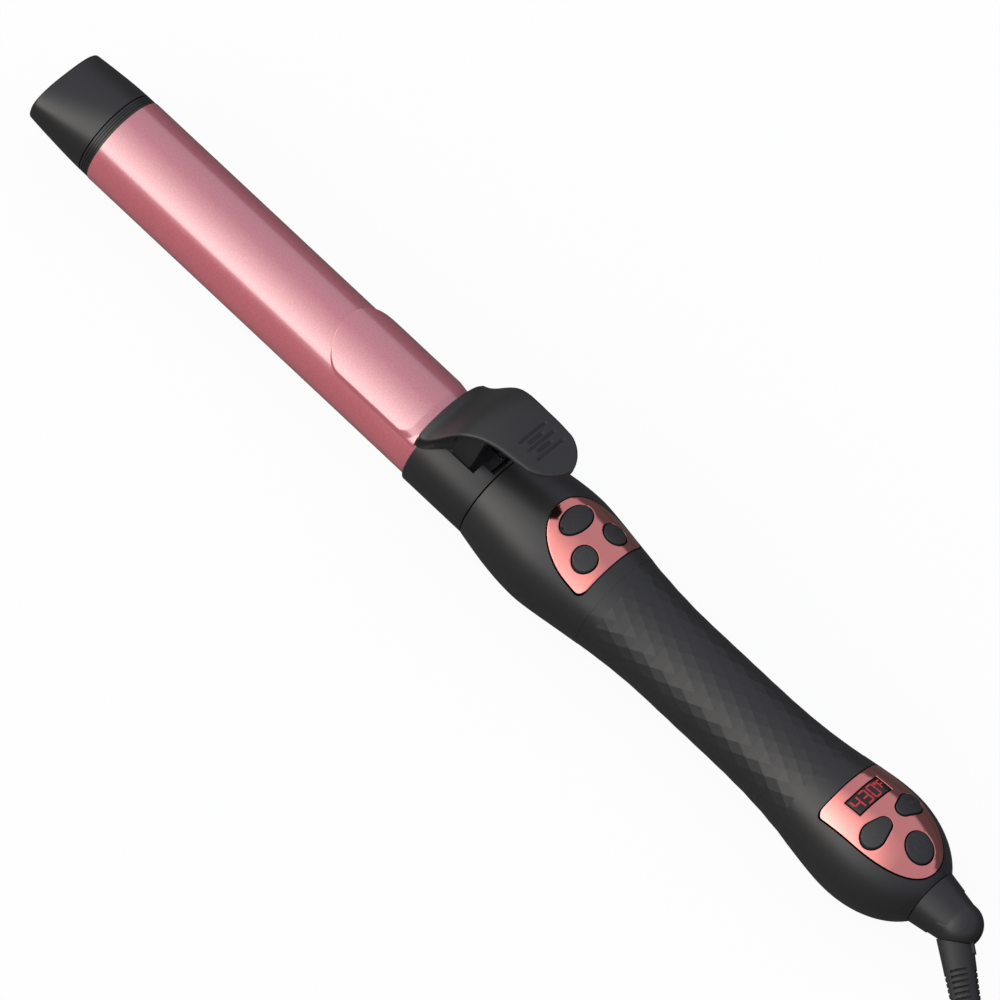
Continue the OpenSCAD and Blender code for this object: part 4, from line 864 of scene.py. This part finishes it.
def clampPlaces(s):
    places = [s["tip"] + s["round"] * (1 - math.cos(math.radians(a))) for a in s["tipAngles"]]
    tipEnd, start = places[-1], s["flatEnd"] - s["corner"] - s["fineAhead"]
    places += [tipEnd + (start - tipEnd) * k / s["plainSteps"] for k in range(1, s["plainSteps"] + 1)]
    steps = round((s["fineTo"] - start) / s["fine"])
    return places + [start + (s["fineTo"] - start) * k / steps for k in range(1, steps + 1)] + s["tailPlaces"]


def makeClamp(s):
    loops = []
    for x in clampPlaces(s):
        half = clampHalf(s, x)
        ys = [half * math.sin(math.pi / 2 * j / s["across"]) for j in range(-s["across"], s["across"] + 1)]
        inner = between(s["tail"], x, 2)
        loops.append([at(x, y, clampTop(s, x, y)) for y in ys]
                     + [at(x, y, math.sqrt(inner * inner - y * y)) for y in reversed(ys)])
    piece = makePiece("clampShell", *skin(loops), "clamp", "pink_barrel")
    soften(piece)
    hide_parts("clamp_plate")


makeClamp(clampSet)
print("lever and clamp made")


# The ring between the cool tip and the barrel, turned about the handle's own line, with fine turned lines
ringSet = {"startX": -170.4, "length": 3.6, "radius": 15.85, "inner": 12.75, "tuck": 6.5, "tuckRadius": 14.55,
           "lines": [0.95, 1.8, 2.65], "lineHalf": 0.16, "lineFloor": 0.4, "lineDepth": 0.22, "edge": 0.12,
           "sides": 144}


def makeRing(s):
    x, r, e, half = s["startX"], s["radius"], s["edge"], s["lineHalf"]
    floor = half * s["lineFloor"]
    rows = [(x, s["inner"]), (x, r - e), (x + e, r)]
    for line in s["lines"]:
        rows += [(x + line - half, r), (x + line - floor, r - s["lineDepth"]),
                 (x + line + floor, r - s["lineDepth"]), (x + line + half, r)]
    end = x + s["length"]
    rows += [(end - e, r), (end, r - e), (end, s["tuckRadius"]), (end + s["tuck"], s["tuckRadius"]),
             (end + s["tuck"], s["inner"])]
    turns = [2 * math.pi * k / s["sides"] for k in range(s["sides"])]
    loops = [[at(x, r * math.cos(a), r * math.sin(a)) for x, r in rows] for a in turns]
    piece = makePiece("tipRing", *skin(loops, True), "barrel", "black_tip")
    soften(piece)
    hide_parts("tip_ring")


makeRing(ringSet)

# Covers over the ends of the swivel's pin, level with the swivel's cone and ball
coverSet = {"pivotX": 201.2, "ball": 8.1, "flat": 7.5, "reach": 5.39, "coneStartX": 189.1, "coneStart": 10.0,
            "coneEndX": 200.2, "coneLip": 0.01, "roll": 31.66, "rings": 14, "sides": 48, "hide": 0.03, "sink": 0.2}


# How far out a cover's top lies: on the ball or the cone, and just under them where they are below the pin's flats
def coverTop(s, x, w):
    coneEnd = s["coneEndX"] - s["pivotX"]
    if x > coneEnd:
        r, dx = s["ball"], x
    else:
        share = (x + s["pivotX"] - s["coneStartX"]) / (s["coneEndX"] - s["coneStartX"])
        endRadius = math.sqrt(s["ball"] ** 2 - coneEnd ** 2) + s["coneLip"]
        r, dx = s["coneStart"] + (endRadius - s["coneStart"]) * share, 0
    z = math.sqrt(r * r - dx * dx - w * w)
    return z if z > s["flat"] else z - s["hide"]


def makeCovers(s):
    roll = math.radians(s["roll"])
    out = Vector((0, -math.sin(roll), math.cos(roll)))
    across = Vector((0, math.cos(roll), math.sin(roll)))
    n = s["sides"]
    turns = [2 * math.pi * k / n for k in range(n)]
    plan = [(0, 0)]
    for i in range(1, s["rings"] + 1):
        r = s["reach"] * i / s["rings"]
        plan += [(r * math.cos(a), r * math.sin(a)) for a in turns]
    spots = [(x, w, coverTop(s, x, w)) for x, w in plan]
    spots += [(x, w, min(z, s["flat"]) - s["sink"]) for x, w, z in spots[-n:]]
    faces = [(0, 1 + k, 1 + (k + 1) % n) for k in range(n)]
    for start in range(1, 1 + s["rings"] * n, n):
        faces += [(start + k, start + n + k, start + n + (k + 1) % n, start + (k + 1) % n) for k in range(n)]
    faces.append(tuple(range(len(spots) - 1, len(spots) - 1 - n, -1)))
    for name, side in (("pinCoverNear", 1), ("pinCoverFar", -1)):
        points = []
        for x, w, z in spots:
            p = w * across + side * z * out
            points.append(at(s["pivotX"] + x, p.y, p.z))
        soften(makePiece(name, points, faces, "swivel", "black_shell"))


makeCovers(coverSet)
print("ring and covers made")


# Studio: a white table under a soft dome that brightens to a long warm band low on the near side
studioSet = {"tableHalf": 6.0, "white": 0.86, "shadowShare": 0.06, "inMetal": 0.10}

# Levels go by the angle about the handle, in degrees from straight up towards the near side
domeSet = {
    "sky": (0.93, 0.95, 1.10),
    "band": (1.0, 0.95, 0.86),
    "skyLevels": [(-180, 0.12), (-69, 0.14), (-62, 0.63), (80, 0.65), (84, 0.24), (180, 0.22)],
    "bandLevels": [(-12, 0.0), (0, 0.08), (14, 0.17), (27, 0.31), (41, 0.47), (54, 0.65), (68, 0.90), (77, 1.0),
                   (84, 0.0)],
    "bandStrength": 2.5,
    "nearEnd": 0.71,
    "fall": 1.3,
    "most": 1.6,
}


def makeTable(s):
    mesh = bpy.data.meshes.new("table")
    h = s["tableHalf"]
    mesh.from_pydata([(-h, -h, 0), (h, -h, 0), (h, h, 0), (-h, h, 0)], [], [(0, 1, 2, 3)])
    table = bpy.data.objects.new("table", mesh)
    bpy.context.scene.collection.objects.link(table)
    p = Paint("tableWhite")
    rays = p.node("ShaderNodeLightPath")
    isCamera, isGlossy = rays[0], rays[3]
    matt = p.node("ShaderNodeBsdfDiffuse", None, {"Color": colour(s["white"], s["white"], s["white"])})[0]
    glow = p.node("ShaderNodeEmission", None, {"Color": colour(1, 1, 1), "Strength": 1.0})[0]
    dim = p.node("ShaderNodeEmission", None, {"Color": colour(1, 1, 1), "Strength": s["inMetal"]})[0]
    shown = p.node("ShaderNodeMixShader", None, {0: isCamera * (1 - s["shadowShare"]), 1: matt, 2: glow})[0]
    p.finish(p.node("ShaderNodeMixShader", None, {0: isGlossy, 1: shown, 2: dim})[0])
    mesh.materials.append(p.material)


def makeWorld(s):
    world = bpy.data.worlds.new("studioWorld")
    p = Paint("studioWorld", world)
    x, y, z = p.node("ShaderNodeSeparateXYZ", None, {0: p.node("ShaderNodeTexCoord")[0]})
    turn = p.maths("ARCTAN2", y * -1, z) / (2 * math.pi) + 0.5
    where = [[((a + 180) / 360, level) for a, level in s[key]] for key in ("skyLevels", "bandLevels")]
    along = p.maths("MINIMUM", p.maths("MAXIMUM", s["nearEnd"] - x * s["fall"], 0.0), s["most"])
    sky = p.node("ShaderNodeBackground", None, {0: s["sky"] + (1,), 1: p.ramp(turn, where[0])})[0]
    band = p.node("ShaderNodeBackground", None,
                  {0: s["band"] + (1,), 1: p.ramp(turn, where[1]) * along * s["bandStrength"]})[0]
    light = p.node("ShaderNodeAddShader", None, {0: sky, 1: band})[0]
    white = p.node("ShaderNodeBackground", None, {0: colour(1, 1, 1), 1: 1.0})[0]
    p.finish(p.node("ShaderNodeMixShader", None, {0: p.node("ShaderNodeLightPath")[0], 1: light, 2: white})[0])
    bpy.context.scene.world = world


makeTable(studioSet)
makeWorld(domeSet)
bpy.context.scene.view_settings.view_transform = "Standard"
print("studio lit")
